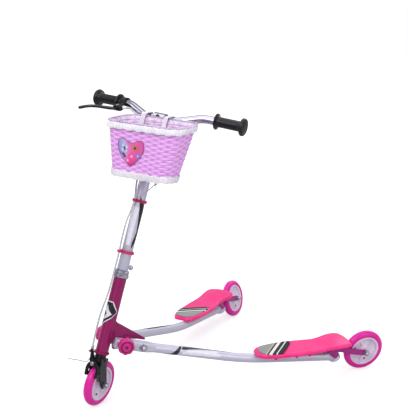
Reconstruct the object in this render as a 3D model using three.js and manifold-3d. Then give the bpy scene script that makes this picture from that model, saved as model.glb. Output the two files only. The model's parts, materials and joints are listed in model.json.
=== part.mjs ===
// A kids' scooter with one steered wheel in front and two castered wheels behind, each behind a
// footplate on its own folding arm. Millimetres. Forward is -Y, the rider's left is +X, up is +Z.
import * as THREE from 'three';
import { mergeVertices } from 'three/addons/utils/BufferGeometryUtils.js';
import Module from 'manifold-3d';

const wasm = await Module();
wasm.setup();
const radians = THREE.MathUtils.degToRad;

// Driving sizes of the whole scooter
const steering = { rake: radians(18.5), turned: radians(23.3), trail: 26.7 };
const clearance = 0.3;
const overrun = 20;
const mergeGap = 0.001;

// Wheels, the same three all round
const wheel = { radius: 62.5, treadRadius: 12, seatRadius: 47, seatHalf: 11, segments: 28 };
const hub = {
  bore: 4.5, bossRadius: 14, bossHalf: 11.5, webHalf: 3.5, rimInner: 40, rimHalf: 10.5,
  spokes: 5, spokeWidth: 6, spokeHeight: 4, segments: 16,
};
const axle = { radius: 4, nutRadius: 7.5, nutHeight: 6, domeHeight: 7 };

// Head tube, gusset and hinge block
const headTube = { radius: 17, bore: 14.5, bottom: 164, top: 367 };
const gusset = {
  half: 13, topY: 92, topZ: 236, tipY: 184, tipZ: 157, tipDrop: 6, underY: 130, underZ: 176,
  footZ: 180, edge: 1.5,
};
const block = { frontY: 86, backY: 130, bottom: 153, top: 186 };
const headset = {
  flange: 21, flangeHeight: 8, insert: 14.2, insertDepth: 10, bore: 13.1, bearingHeight: 5,
  bearingDrop: 3, nutRadius: 19.5, nutHeight: 12,
};

// Fork
const fork = {
  steererRadius: 12.7, steererBore: 10.5, steererTop: 452, crownBottom: 139, crownTop: 148,
  crownHalfWidth: 18.5, crownHalfDepth: 16, crownForward: 3, raceRadius: 15, raceTop: 155.5,
  bladeInner: 13.6, bladeThick: 4.4, bladeTopHalf: 16, bladeMidHalf: 16.5, bladeEndHalf: 12.5,
  edge: 1, tabHalf: 12, tabFront: -20.5, tabBack: -15.5, tabBottom: 123, screwRadius: 3.5, screwHead: 2,
};

// Column, clips and its pull pin
const column = { radius: 15, bore: 13, belowBar: 18 };
const clip = { radius: 19.5, half: 4, lugHalf: 5.5, lowerZ: 437, upperZ: 577, hole: 3.4 };
const pullPin = { z: 395, radius: 3, tip: 9, neckRadius: 4.5, ballRadius: 7, ballAt: 40, hole: 3.5,
  collarRadius: 7, collarLength: 6 };

// Handlebar and grips
const bar = { radius: 11.1, wall: 2, z: 801, straight: 46, riseX: 114, gripX: 150, gripY: 24,
  rise: 26, sweep: radians(4.3), bend: 14 };
const grip = { radius: 13.6, bore: 11.5, length: 80, endRadius: 23.5, endThick: 13, innerRadius: 21.5,
  innerThick: 4, endWall: 3, fillet: 1.8 };
const clampPart = { radius: 16.5, half: 17, bore: 11.4, plugRadius: 12.8, plugDepth: 40,
  boltRaised: radians(14), boltRadius: 3, boltTip: 6, headRadius: 4.8, headHeight: 3.6 };

// Brake lever on the rider's right
const lever = {
  clampAt: 16, ringRadius: 15, ringHalf: 9, bodyBack: 14, bodyHalf: 7, bodyEnd: 41, wall: 5,
  slotFrom: 18, slotHalf: 3.4, half: 3, edge: 1, pivotX: -2, pivotY: 34, pinRadius: 2.2, pinHole: 2.6,
  pinHead: 1.5, eyeHalf: 6, tipX: 98, tipY: 76, forward: 0.826,
};
const leverLineShares = [[0, 0], [0.12, 0.26], [0.44, 0.345], [0.7, 0.45], [0.88, 0.67], [1, 1]];
const leverWidthShares = [1, 1, 0.83, 0.8, 0.8, 0.9];
const barrel = { radius: 4.5, length: 14, at: 28, hole: 3.2, stem: 4, taper: 3 };

// Front brake
const caliper = {
  pivotY: -21, pivotZ: 132, armThick: 4.6, gap: 0.5, boltRadius: 3, nutRadius: 5.5, nutHeight: 4,
  shoeInner: 13.4, shoeOuter: 18.8, armReach: 17.4, armDrop: 33, eyeHalf: 7, shoeZ: 101,
  shoeHalf: 5.5, shoeLength: 8, stopX: -14, stopY: -28, stopTop: 168, stopHeight: 8, stopRadius: 4.5,
  flangeRadius: 8.5, flangeHeight: 2.5, anchorX: -10, anchorZ: 149,
};
const caliperLowerShares = [[0, 0], [0.6, 0.09], [1, 0.42], [1, 1]];
const caliperUpperShares = [[0, 0], [0.7, 0.42], [1, 0.9]];
const caliperWidthShares = [1, 0.78, 0.6, 0.51];
const cable = { radius: 2.5, sides: 6, steps: 44 };
const wire = { radius: 0.9 };

// Basket, hung a little to the rider's left of the bar's middle
const basket = {
  centreX: 27, backY: -22, topHalfX: 110, topDepth: 114, bottomHalfX: 87, bottomDepth: 86,
  belowBar: 21.5, height: 138.5, corner: 38, wall: 3, floorTilt: 0.22, rimTilt: 0.334, tiltSide: 0.06,
  drift: 8, rimThick: 4, rimHeight: 15, rimAbove: 2, rimWaves: 14, rimWave: 1.6, sides: 48,
};
const strap = { width: 12, thick: 1.8, at: 34, slotZ: 22, slotHeight: 16, turn: 4.5, slotGap: 1,
  overRim: 3, behindRim: 4, bend: 1.5 };
const tie = { radius: 1.5, aside: 6, farX: 72, farY: -50, aboveClip: 12 };

// Arms, given for the left side and mirrored for the right
const arm = {
  splay: radians(21.1), startX: 25.6, startY: 100, startZ: 171.8, radius: 12.7, wall: 1.8,
  frontSlope: 0.25917, frontRun: 353, rearDrift: 7, bend: 70, neckRadius: 10.6, neckFrom: 36, neckTo: 90,
  shoulder: 4,
};
const hingeEnd = { half: 13.1, front: -22, back: 90, bore: 10.9, squareTo: 68, boltAt: 56.5,
  pivotAt: 2, pivotUp: 6, plugDepth: 35, nose: 2, overTube: 0.4 };
const pivot = { radius: 5, hole: 5.5, inner: -24, outer: 31 };
const crossBolt = { radius: 4, hole: 4.4, headRadius: 6.5, headHeight: 4.5, nutRadius: 8.5,
  nutHeight: 5, domeRadius: 7, washerRadius: 11, washer: 1.5 };
const knob = { radius: 22.5, lobes: 8, lobeDepth: 1.6, neckRadius: 9, neckLength: 9, depth: 21,
  edge: 3, facets: 32 };

// Footplates
const plate = {
  from: 381, length: 287, pastArm: 43, offset: 12, top: 103, wall: 3, lip: 11.5, roll: 4.5,
  sideLean: 1.5, halfWidth: 46, heelRise: 7, heelCrown: 4, ribThick: 5, saddleHalf: 17,
};
const plateRibShares = [0.24, 0.62];
const plateAtShares = [0, 0.03, 0.09, 0.18, 0.32, 0.46, 0.58, 0.66, 0.74, 0.84, 0.92, 0.975, 1];
const plateInnerShares = [0.42, 0.64, 0.8, 0.92, 1, 1, 0.9, 0.8, 0.86, 1.02, 1.04, 0.88, 0.5];
const plateOuterShares = [0.42, 0.64, 0.8, 0.92, 1, 1.02, 1, 0.99, 1.01, 1.06, 1.08, 0.96, 0.66];
const plateRiseShares = [0.2, 0, 0, 0, 0, 0, 0.05, 0.2, 0.5, 0.9, 1, 0.9, 0.7];
const pad = { thick: 2.4, front: 10, length: 108, inset: 7, edge: 1 };
const padAtShares = [0, 0.04, 0.1, 0.2, 0.4, 0.6, 0.8, 1];

// Casters: the swivel axis leans with its top forward, and rests swung outwards
const caster = {
  lean: radians(27.1), swung: radians(23.4), reach: 90.5, drop: 44.8, pastArm: 0.9, aboveArm: 9.7,
  housingRadius: 16, housingTop: 22, housingBottom: 20, housingBore: 8.2,
  plateThick: 5, pinRadius: 7.6, headRadius: 10, headHeight: 4, nutRadius: 9.5, nutHeight: 4,
  legInner: 16.8, legThick: 4, legFrontHalf: 6.5, legEndHalf: 8.5, crownFront: 13, crownBack: 24,
};
const casterLegShares = [[0, 0], [0.24, 0.13], [0.63, 0.6], [1, 1]];

// Colours
const colours = {
  pink: 0xf0468f, magenta: 0x8c1c5a, tyre: 0xd6289b, silver: 0xc9c3d2, chrome: 0xd8d8dc,
  black: 0x26242a, grey: 0x9a9a9e, white: 0xefeaf2, weave: 0xe9a6ee,
};
const finish = (colour, roughness, metalness) =>
  new THREE.MeshStandardMaterial({ color: colour, roughness, metalness });
const finishes = {
  pinkPlastic: finish(colours.pink, 0.35, 0),
  magentaPaint: finish(colours.magenta, 0.3, 0.4),
  tyreRubber: finish(colours.tyre, 0.4, 0),
  silverPaint: finish(colours.silver, 0.35, 0.4),
  chrome: finish(colours.chrome, 0.1, 1),
  blackPlastic: finish(colours.black, 0.5, 0),
  blackPaint: finish(colours.black, 0.4, 0.2),
  steel: finish(colours.grey, 0.3, 1),
  hubPlastic: finish(colours.white, 0.4, 0),
  basketWeave: finish(colours.weave, 0.6, 0),
};

// Solids: joining and cutting closed geometries

function bare(geometry) {
  const copy = geometry.index ? geometry.toNonIndexed() : geometry.clone();
  const positions = new THREE.BufferGeometry().setAttribute('position', copy.getAttribute('position'));
  return mergeVertices(positions, mergeGap);
}

function solid(geometry) {
  const merged = bare(geometry);
  return new wasm.Manifold(new wasm.Mesh({
    numProp: 3,
    vertProperties: merged.attributes.position.array,
    triVerts: new Uint32Array(merged.index.array),
  }));
}

function geometryOf(manifold) {
  const mesh = manifold.getMesh();
  const geometry = new THREE.BufferGeometry();
  geometry.setAttribute('position', new THREE.BufferAttribute(new Float32Array(mesh.vertProperties), 3));
  geometry.setIndex(new THREE.BufferAttribute(new Uint32Array(mesh.triVerts), 1));
  return geometry;
}

function join(first, ...others) {
  return geometryOf(others.reduce((sum, other) => sum.add(solid(other)), solid(first)));
}

function cut(body, ...tools) {
  return geometryOf(tools.reduce((rest, tool) => rest.subtract(solid(tool)), solid(body)));
}

// Turns the faces round where a profile was given the other way.
function outward(geometry) {
  const whole = bare(geometry);
  if (solid(whole).volume() > 0) return whole;
  const index = whole.index.array;
  for (let i = 0; i < index.length; i += 3) [index[i + 1], index[i + 2]] = [index[i + 2], index[i + 1]];
  return whole;
}

// Revolves pairs of radius and height round an axis. The pairs start and end on the axis, or close.
function revolve(pairs, axis, segments) {
  const points = pairs.map(([radius, height]) => new THREE.Vector2(radius, height));
  const geometry = new THREE.LatheGeometry(points, segments);
  if (axis === 'x') geometry.rotateZ(-Math.PI / 2);
  if (axis === 'z') geometry.rotateX(Math.PI / 2);
  return outward(geometry);
}

function rod(radius, from, to, axis, segments = 10) {
  return revolve([[0, from], [radius, from], [radius, to], [0, to]], axis, segments);
}

function ring(outer, inner, from, to, axis, segments = 18) {
  return revolve([[inner, from], [outer, from], [outer, to], [inner, to], [inner, from]], axis, segments);
}

function boxBetween(x, y, z) {
  const geometry = new THREE.BoxGeometry(x[1] - x[0], y[1] - y[0], z[1] - z[0]);
  return geometry.translate((x[0] + x[1]) / 2, (y[0] + y[1]) / 2, (z[0] + z[1]) / 2);
}

// Extrudes an outline along an axis: an outline for x is drawn in (y, z), for y in (x, z).
function slab(shape, from, to, axis, edge = 0) {
  const geometry = new THREE.ExtrudeGeometry(shape, {
    depth: to - from - 2 * edge, bevelEnabled: edge > 0, bevelThickness: edge, bevelSize: edge,
    bevelOffset: -edge, bevelSegments: 1, curveSegments: 8,
  });
  geometry.translate(0, 0, from + edge);
  const turn = new THREE.Matrix4();
  if (axis === 'x') turn.set(0, 0, 1, 0, 1, 0, 0, 0, 0, 1, 0, 0, 0, 0, 0, 1);
  if (axis === 'y') turn.set(1, 0, 0, 0, 0, 0, 1, 0, 0, 1, 0, 0, 0, 0, 0, 1);
  return outward(geometry.applyMatrix4(turn));
}

// An outline round a smooth centre line, with its own half width at each point and round ends.
function ribbon(points, halves, steps = 10, capSteps = 5) {
  const line = new THREE.SplineCurve(points.map(([a, b]) => new THREE.Vector2(a, b)));
  const widths = new THREE.SplineCurve(halves.map((half, i) => new THREE.Vector2(i, half)));
  const left = [];
  const right = [];
  for (let i = 0; i <= steps; i += 1) {
    const at = line.getPoint(i / steps);
    const along = line.getTangent(i / steps);
    const across = new THREE.Vector2(-along.y, along.x).multiplyScalar(widths.getPoint(i / steps).y);
    left.push(at.clone().add(across));
    right.unshift(at.clone().sub(across));
  }
  const cap = (centre, from) => {
    const rest = from.clone().sub(centre);
    const out = [];
    for (let i = 1; i < capSteps; i += 1) {
      out.push(rest.clone().rotateAround(new THREE.Vector2(), -Math.PI * i / capSteps).add(centre));
    }
    return out;
  };
  const endCap = cap(line.getPoint(1), left[left.length - 1]);
  const startCap = cap(line.getPoint(0), right[right.length - 1]);
  return new THREE.Shape([...left, ...endCap, ...right, ...startCap]);
}

function circleShape(radius, sides) {
  const points = [];
  for (let i = 0; i < sides; i += 1) {
    const angle = 2 * Math.PI * i / sides;
    points.push(new THREE.Vector2(radius * Math.cos(angle), radius * Math.sin(angle)));
  }
  return new THREE.Shape(points);
}

// Points along straight runs joined by bends that start the given reach before each corner.
function bentPath(corners, reach, bendSteps) {
  const points = [corners[0]];
  for (let i = 1; i < corners.length - 1; i += 1) {
    const before = corners[i].clone().add(corners[i - 1].clone().sub(corners[i]).setLength(reach));
    const after = corners[i].clone().add(corners[i + 1].clone().sub(corners[i]).setLength(reach));
    points.push(...new THREE.QuadraticBezierCurve3(before, corners[i], after).getPoints(bendSteps));
  }
  return [...points, corners[corners.length - 1]];
}

// A pipe through the points, with a ring of the pipe's section square to the path at each one.
function pipe(points, radius, sides, bore = 0) {
  const last = points.length - 1;
  let across = new THREE.Vector3(0, 0, 1);
  const frames = points.map((point, i) => {
    const along = points[Math.min(i + 1, last)].clone().sub(points[Math.max(i - 1, 0)]).normalize();
    across = across.clone().addScaledVector(along, -across.dot(along)).normalize();
    return { point, across, side: along.clone().cross(across) };
  });
  const ringAt = ({ point, across: up, side }, size) => {
    const points3 = [];
    for (let i = 0; i < sides; i += 1) {
      const angle = 2 * Math.PI * i / sides;
      points3.push(point.clone().addScaledVector(up, size * Math.cos(angle))
        .addScaledVector(side, size * Math.sin(angle)));
    }
    return points3;
  };
  const outer = frames.map((frame) => ringAt(frame, radius));
  if (!bore) return loft(outer);
  return loopedLoft([...outer, ...frames.map((frame) => ringAt(frame, bore)).reverse()]);
}

function tube(path, radius, steps, sides, bore = 0) {
  const shape = circleShape(radius, sides);
  if (bore > 0) shape.holes.push(new THREE.Path(circleShape(bore, sides).getPoints()));
  return outward(new THREE.ExtrudeGeometry(shape, { steps, extrudePath: path, bevelEnabled: false }));
}

// Joins rings of points into a skin, with a flat cap over the first and the last ring.
function loft(rings) {
  const count = rings[0].length;
  const positions = rings.flat().flatMap((p) => [p.x, p.y, p.z]);
  const faces = [];
  for (let r = 0; r < rings.length - 1; r += 1) {
    for (let i = 0; i < count; i += 1) {
      const next = (i + 1) % count;
      const a = r * count + i;
      const b = r * count + next;
      faces.push(a, b, b + count, a, b + count, a + count);
    }
  }
  const last = (rings.length - 1) * count;
  for (let i = 1; i < count - 1; i += 1) {
    faces.push(0, i + 1, i, last, last + i, last + i + 1);
  }
  const geometry = new THREE.BufferGeometry();
  geometry.setAttribute('position', new THREE.Float32BufferAttribute(positions, 3));
  geometry.setIndex(faces);
  return outward(geometry);
}

// Joins rings of points into a closed loop of rings, as round a rim.
function loopedLoft(rings) {
  const count = rings[0].length;
  const positions = rings.flat().flatMap((p) => [p.x, p.y, p.z]);
  const faces = [];
  for (let r = 0; r < rings.length; r += 1) {
    const up = ((r + 1) % rings.length) * count;
    for (let i = 0; i < count; i += 1) {
      const next = (i + 1) % count;
      faces.push(r * count + i, r * count + next, up + next, r * count + i, up + next, up + i);
    }
  }
  const geometry = new THREE.BufferGeometry();
  geometry.setAttribute('position', new THREE.Float32BufferAttribute(positions, 3));
  geometry.setIndex(faces);
  return outward(geometry);
}

function node(parent, name, geometry, material) {
  const shown = geometry.toNonIndexed();
  shown.computeVertexNormals();
  const mesh = new THREE.Mesh(shown, material);
  mesh.name = name;
  parent.add(mesh);
  return mesh;
}

function nest(parent, setUp = () => {}) {
  const group = new THREE.Group();
  setUp(group);
  parent.add(group);
  return group;
}

// Wheel parts, made round X at the origin

function tyreGeometry() {
  const treadSteps = 5;
  const shoulder = wheel.radius - wheel.treadRadius;
  const profile = [[wheel.seatRadius, -wheel.seatHalf]];
  for (let i = 0; i <= treadSteps; i += 1) {
    const angle = Math.PI * i / treadSteps;
    profile.push([
      shoulder + wheel.treadRadius * Math.sin(angle), -wheel.treadRadius * Math.cos(angle)]);
  }
  profile.push([wheel.seatRadius, wheel.seatHalf], profile[0]);
  return revolve(profile, 'x', wheel.segments);
}

function hubGeometry() {
  const seat = wheel.seatRadius - clearance * 1.5;
  const half = [[hub.bore, hub.bossHalf], [hub.bossRadius, hub.bossHalf],
    [hub.bossRadius, hub.webHalf], [hub.rimInner, hub.webHalf], [hub.rimInner, hub.rimHalf],
    [seat, hub.rimHalf]];
  const mirrored = half.map(([radius, side]) => [radius, -side]).reverse();
  const disc = revolve([...half, ...mirrored, half[0]], 'x', hub.segments);
  const spokes = [];
  for (let i = 0; i < hub.spokes; i += 1) {
    const reach = [(hub.bore + hub.bossRadius) / 2, (hub.rimInner + seat) / 2];
    const spoke = boxBetween([-hub.webHalf - hub.spokeHeight, hub.webHalf + hub.spokeHeight],
      [-hub.spokeWidth / 2, hub.spokeWidth / 2], reach);
    spokes.push(spoke.rotateX(2 * Math.PI * i / hub.spokes));
  }
  return join(disc, ...spokes);
}

// A through bolt with a plain nut at one end and a domed one at the other.
function axleGeometry(grip) {
  const nut = grip + axle.nutHeight;
  return revolve([[0, -nut], [axle.nutRadius * 0.9, -nut], [axle.nutRadius, -grip - axle.nutHeight / 2],
    [axle.nutRadius, -grip], [axle.radius, -grip], [axle.radius, grip], [axle.nutRadius, grip],
    [axle.nutRadius, nut], [axle.nutRadius * 0.7, nut + axle.domeHeight * 0.7],
    [0, nut + axle.domeHeight]], 'x', 12);
}

// How high the middle of a wheel stands when its axle slopes by this much.
function standingHeight(slope) {
  return (wheel.radius - wheel.treadRadius) * Math.cos(slope) + wheel.treadRadius;
}

function addWheel(parent, names, grip) {
  node(parent, names.tyre, tyreGeometry(), finishes.tyreRubber);
  node(parent, names.hub, hubGeometry(), finishes.hubPlastic);
  node(parent, names.axle, axleGeometry(grip), finishes.steel);
}

// Frame: head tube, gusset and the block that the arms hinge on

function weldmentGeometry() {
  const tubeOut = rod(headTube.radius, headTube.bottom, headTube.top, 'z', 24).rotateX(-steering.rake);
  const bore = rod(headTube.bore, headTube.bottom - overrun, headTube.top + overrun, 'z', 20)
    .rotateX(-steering.rake);
  const axisY = (z) => z * Math.tan(steering.rake);
  const outline = new THREE.Shape();
  outline.moveTo(axisY(gusset.topZ), gusset.topZ);
  outline.lineTo(gusset.topY, gusset.topZ);
  outline.quadraticCurveTo(gusset.topY + gusset.tipDrop, gusset.topZ - gusset.half,
    gusset.topY + gusset.half, gusset.topZ - gusset.half);
  outline.lineTo(gusset.tipY, gusset.tipZ + gusset.tipDrop);
  outline.lineTo(gusset.tipY, gusset.tipZ);
  outline.lineTo(gusset.underY, gusset.underZ);
  outline.lineTo(axisY(gusset.footZ), gusset.footZ);
  outline.closePath();
  const web = slab(outline, -gusset.half, gusset.half, 'x', gusset.edge);
  const face = (y) => arm.startX - (hingeEnd.half + 2 * clearance) / Math.cos(arm.splay)
    + (y - arm.startY) * Math.tan(arm.splay);
  const plan = new THREE.Shape([
    new THREE.Vector2(-face(block.frontY), block.frontY), new THREE.Vector2(face(block.frontY), block.frontY),
    new THREE.Vector2(face(block.backY), block.backY), new THREE.Vector2(-face(block.backY), block.backY)]);
  const hinge = slab(plan, block.bottom, block.top, 'z');
  const body = join(tubeOut, web, hinge);
  const holes = [1, -1].map((side) => {
    const hole = rod(pivot.radius + clearance, pivot.inner - clearance, overrun, 'x', 12);
    hole.applyMatrix4(armFrontMatrix());
    return side > 0 ? hole : outward(hole.scale(-1, 1, 1));
  });
  // The gusset is narrowed beside the arms' square ends, with room for their upper corner as they fold.
  const reach = hingeEnd.half + clearance;
  const swing = Math.hypot(hingeEnd.pivotAt - hingeEnd.front, hingeEnd.half - hingeEnd.pivotUp);
  const front = hingeEnd.pivotAt - swing - 2 * clearance;
  const besides = [1, -1].map((side) => {
    const room = boxBetween([-reach, overrun * 2], [front, hingeEnd.back + overrun],
      [-reach * 2, reach + clearance]).applyMatrix4(armMatrix().multiply(frontTilt()));
    return side > 0 ? room : outward(room.scale(-1, 1, 1));
  });
  return cut(body, bore, ...holes, ...besides);
}

function addHeadset(parent) {
  const top = headTube.top;
  const bottom = headTube.bottom;
  const flange = headset.flange;
  const pocket = headset.bearingHeight + clearance;
  const shelf = bottom - headset.bearingDrop;
  const lower = [[headset.bore, shelf], [headset.bore, bottom + headset.insertDepth],
    [headset.insert, bottom + headset.insertDepth], [headset.insert, bottom - clearance],
    [flange, bottom - clearance], [flange * 0.9, bottom - headset.flangeHeight],
    [headset.insert, bottom - headset.flangeHeight], [headset.insert, shelf], [headset.bore, shelf]];
  node(parent, 'headset_lower_cup', revolve(lower, 'z', 18), finishes.magentaPaint);
  node(parent, 'headset_lower_bearing',
    ring(headset.insert - clearance, headset.bore, bottom - headset.flangeHeight, shelf - clearance, 'z'),
    finishes.steel);
  const upper = [[headset.bore, top - headset.insertDepth], [headset.insert, top - headset.insertDepth],
    [headset.insert, top + clearance], [flange * 0.93, top + clearance], [flange, top + pocket / 2],
    [flange, top + headset.flangeHeight], [headset.insert, top + headset.flangeHeight],
    [headset.insert, top + pocket / 2], [headset.bore, top + pocket / 2],
    [headset.bore, top - headset.insertDepth]];
  node(parent, 'headset_upper_cup', revolve(upper, 'z', 18), finishes.chrome);
  node(parent, 'headset_upper_bearing',
    ring(headset.insert - clearance, headset.bore, top + pocket / 2 + clearance,
      top + headset.flangeHeight, 'z'), finishes.steel);
}

// Steering: everything that turns with the handlebar, drawn straight ahead round the steering axis

function forkGeometry(wheelAt) {
  const outer = fork.bladeInner + fork.bladeThick;
  const crown = boxBetween([-outer, outer], [-fork.crownForward - fork.crownHalfDepth,
    fork.crownHalfDepth - fork.crownForward], [fork.crownBottom, fork.crownTop]);
  const centre = [[-fork.crownForward, fork.crownTop - fork.bladeTopHalf],
    [-fork.crownForward / 2, fork.crownBottom - fork.bladeTopHalf],
    [wheelAt.y * 0.35, wheelAt.z + fork.bladeEndHalf * 2], [wheelAt.y * 0.92, wheelAt.z]];
  const halves = [fork.bladeTopHalf, fork.bladeTopHalf, fork.bladeMidHalf, fork.bladeEndHalf];
  const outline = ribbon(centre, halves, 6, 5);
  const blades = [[fork.bladeInner, outer], [-outer, -fork.bladeInner]].map(([from, to]) =>
    slab(outline, from, to, 'x', fork.edge));
  const race = rod(fork.raceRadius, fork.crownTop - fork.edge, fork.raceTop, 'z', 18);
  const steerer = rod(fork.steererRadius, fork.crownTop - fork.edge, fork.steererTop, 'z', 18);
  const tab = boxBetween([-fork.tabHalf, fork.tabHalf], [fork.tabFront, fork.tabBack],
    [fork.tabBottom, fork.crownTop]);
  const screw = rod(fork.screwRadius, -outer - fork.screwHead, outer + fork.screwHead, 'x')
    .translate(0, -fork.crownForward, fork.crownBottom + fork.screwRadius);
  const axleHole = rod(axle.radius + clearance, -outer - overrun, outer + overrun, 'x')
    .translate(0, wheelAt.y, wheelAt.z);
  const boltHole = rod(caliper.boltRadius + clearance, fork.tabFront - overrun, fork.tabBack + overrun / 2,
    'y').translate(0, 0, caliper.pivotZ);
  const steererBore = rod(fork.steererBore, fork.crownTop + fork.edge, fork.steererTop + overrun, 'z', 16);
  const pinHole = rod(pullPin.hole, 0, overrun, 'y').translate(0, 0, pullPin.z);
  return cut(join(crown, ...blades, race, steerer, tab, screw), axleHole, boltHole, steererBore, pinHole);
}

function columnTop() {
  return bar.z - column.belowBar;
}

function columnGeometry() {
  const from = headTube.top + headset.flangeHeight + headset.nutHeight + 3 * clearance;
  const tubeOut = ring(column.radius, column.bore, from, columnTop(), 'z', 24);
  const collar = rod(pullPin.collarRadius, (column.bore + column.radius) / 2,
    column.radius + pullPin.collarLength, 'y', 16).translate(0, 0, pullPin.z);
  const hole = rod(pullPin.hole, 0, column.radius + overrun, 'y').translate(0, 0, pullPin.z);
  return cut(join(tubeOut, collar), hole);
}

function addPullPin(parent) {
  const seat = column.radius + pullPin.collarLength + clearance;
  const ball = [];
  const ballSteps = 6;
  for (let i = 0; i <= ballSteps; i += 1) {
    const angle = Math.PI * (1 - i / ballSteps * 0.8 - 0.2);
    ball.push([pullPin.ballRadius * Math.sin(angle),
      pullPin.ballAt + pullPin.ballRadius * Math.cos(angle)]);
  }
  ball[ballSteps][0] = 0;
  const profile = [[0, pullPin.tip], [pullPin.radius, pullPin.tip], [pullPin.radius, seat],
    [pullPin.neckRadius, seat], [pullPin.neckRadius * 0.8, pullPin.ballAt - pullPin.ballRadius * 0.9],
    ...ball];
  const pin = revolve(profile, 'y', 12).translate(0, 0, pullPin.z);
  node(parent, 'column_pull_pin', pin, finishes.chrome);
}

// A band round the column with a lug that holds the cable in front of it.
function clipGeometry(z, cableAt) {
  const band = ring(clip.radius, column.radius + clearance, z - clip.half, z + clip.half, 'z', 24);
  const shape = new THREE.Shape([
    new THREE.Vector2(cableAt.x - clip.lugHalf, -column.radius - 2 * clearance),
    new THREE.Vector2(cableAt.x - clip.lugHalf, cableAt.y - clip.hole / 2),
    new THREE.Vector2(cableAt.x - clip.lugHalf / 2, cableAt.y - clip.lugHalf),
    new THREE.Vector2(cableAt.x + clip.lugHalf / 2, cableAt.y - clip.lugHalf),
    new THREE.Vector2(cableAt.x + clip.lugHalf, cableAt.y - clip.hole / 2),
    new THREE.Vector2(cableAt.x + clip.lugHalf, -column.radius - 2 * clearance)]);
  const lug = slab(shape, z - clip.half * 0.8, z + clip.half * 0.8, 'z');
  const hole = rod(clip.hole, z - overrun, z + overrun, 'z', 12).translate(cableAt.x, cableAt.y, 0);
  const bore = rod(column.radius + clearance, z - overrun, z + overrun, 'z', 24);
  return cut(join(band, lug), hole, bore);
}

function barPath() {
  const gripEnd = gripPoint(grip.length);
  const rise = gripPoint(bar.riseX - bar.gripX);
  const right = (p) => new THREE.Vector3(-p.x, p.y, p.z);
  const corner = new THREE.Vector3(bar.straight, 0, bar.z);
  return bentPath([right(gripEnd), right(rise), right(corner), corner, rise, gripEnd], bar.bend, 3);
}

// A point on the left grip's axis, this far out from the grip's inner end.
function gripPoint(out) {
  return new THREE.Vector3(bar.gripX + out * Math.cos(bar.sweep), bar.gripY + out * Math.sin(bar.sweep),
    bar.z + bar.rise);
}

function gripGeometry() {
  const waist = grip.radius;
  const last = grip.length + grip.endWall;
  const profile = [[grip.bore, 0], [grip.innerRadius, 0], [grip.innerRadius, grip.innerThick],
    [waist + grip.fillet, grip.innerThick + grip.fillet], [waist, grip.innerThick + grip.fillet * 3],
    [waist, last - grip.endThick - grip.fillet * 3], [waist + grip.fillet, last - grip.endThick],
    [grip.endRadius * 0.93, last - grip.endThick * 0.8], [grip.endRadius, last - grip.endThick * 0.45],
    [grip.endRadius * 0.88, last - grip.endThick * 0.06], [grip.endRadius * 0.5, last], [0, last],
    [0, grip.length + clearance], [grip.bore, grip.length + clearance], [grip.bore, 0]];
  return revolve(profile, 'x', 16);
}

function addHandlebar(parent) {
  const c = clampPart;
  const placeBolt = (geometry) => geometry.rotateX(-c.boltRaised).translate(0, 0, bar.z);
  const boltHole = placeBolt(rod(c.boltRadius + clearance, -c.radius - overrun, 0, 'y'));
  const barPipe = pipe(barPath(), bar.radius, 12, bar.radius - bar.wall);
  node(parent, 'handlebar', cut(barPipe, boltHole), finishes.chrome);
  [['grip_left', 1], ['grip_right', -1]].forEach(([name, side]) => {
    const placed = nest(nest(parent, (g) => { g.scale.x = side; }), (g) => {
      g.position.copy(gripPoint(0));
      g.rotation.z = bar.sweep;
    });
    node(placed, name, gripGeometry(), finishes.blackPlastic);
  });
  const band = rod(c.radius, -c.half, c.half, 'x', 18).translate(0, 0, bar.z);
  const neck = rod(column.radius, columnTop() + clearance, bar.z - bar.radius, 'z', 18);
  const plug = rod(c.plugRadius, columnTop() - c.plugDepth, bar.z, 'z', 18);
  const barBore = rod(c.bore, -c.half - overrun, c.half + overrun, 'x', 18).translate(0, 0, bar.z);
  node(parent, 'handlebar_clamp', cut(join(band, neck, plug), barBore, boltHole), finishes.steel);
  const seat = -c.radius - clearance;
  const bolt = revolve([[0, seat - c.headHeight], [c.headRadius, seat - c.headHeight],
    [c.headRadius, seat], [c.boltRadius, seat], [c.boltRadius, -c.boltTip], [0, -c.boltTip]], 'y', 12);
  node(parent, 'clamp_bolt', placeBolt(bolt), finishes.blackPaint);
}

// The brake lever's own frame: x runs out along the right grip, y runs forward and down to the lever.
function leverMatrix() {
  const at = gripPoint(-lever.clampAt);
  const outwards = new THREE.Vector3(-Math.cos(bar.sweep), Math.sin(bar.sweep), 0);
  const forward = new THREE.Vector3(0, -lever.forward, -Math.sqrt(1 - lever.forward ** 2));
  forward.addScaledVector(outwards, -forward.dot(outwards)).normalize();
  const normal = outwards.clone().cross(forward);
  return new THREE.Matrix4().makeBasis(outwards, forward, normal).setPosition(-at.x, at.y, at.z);
}

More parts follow.
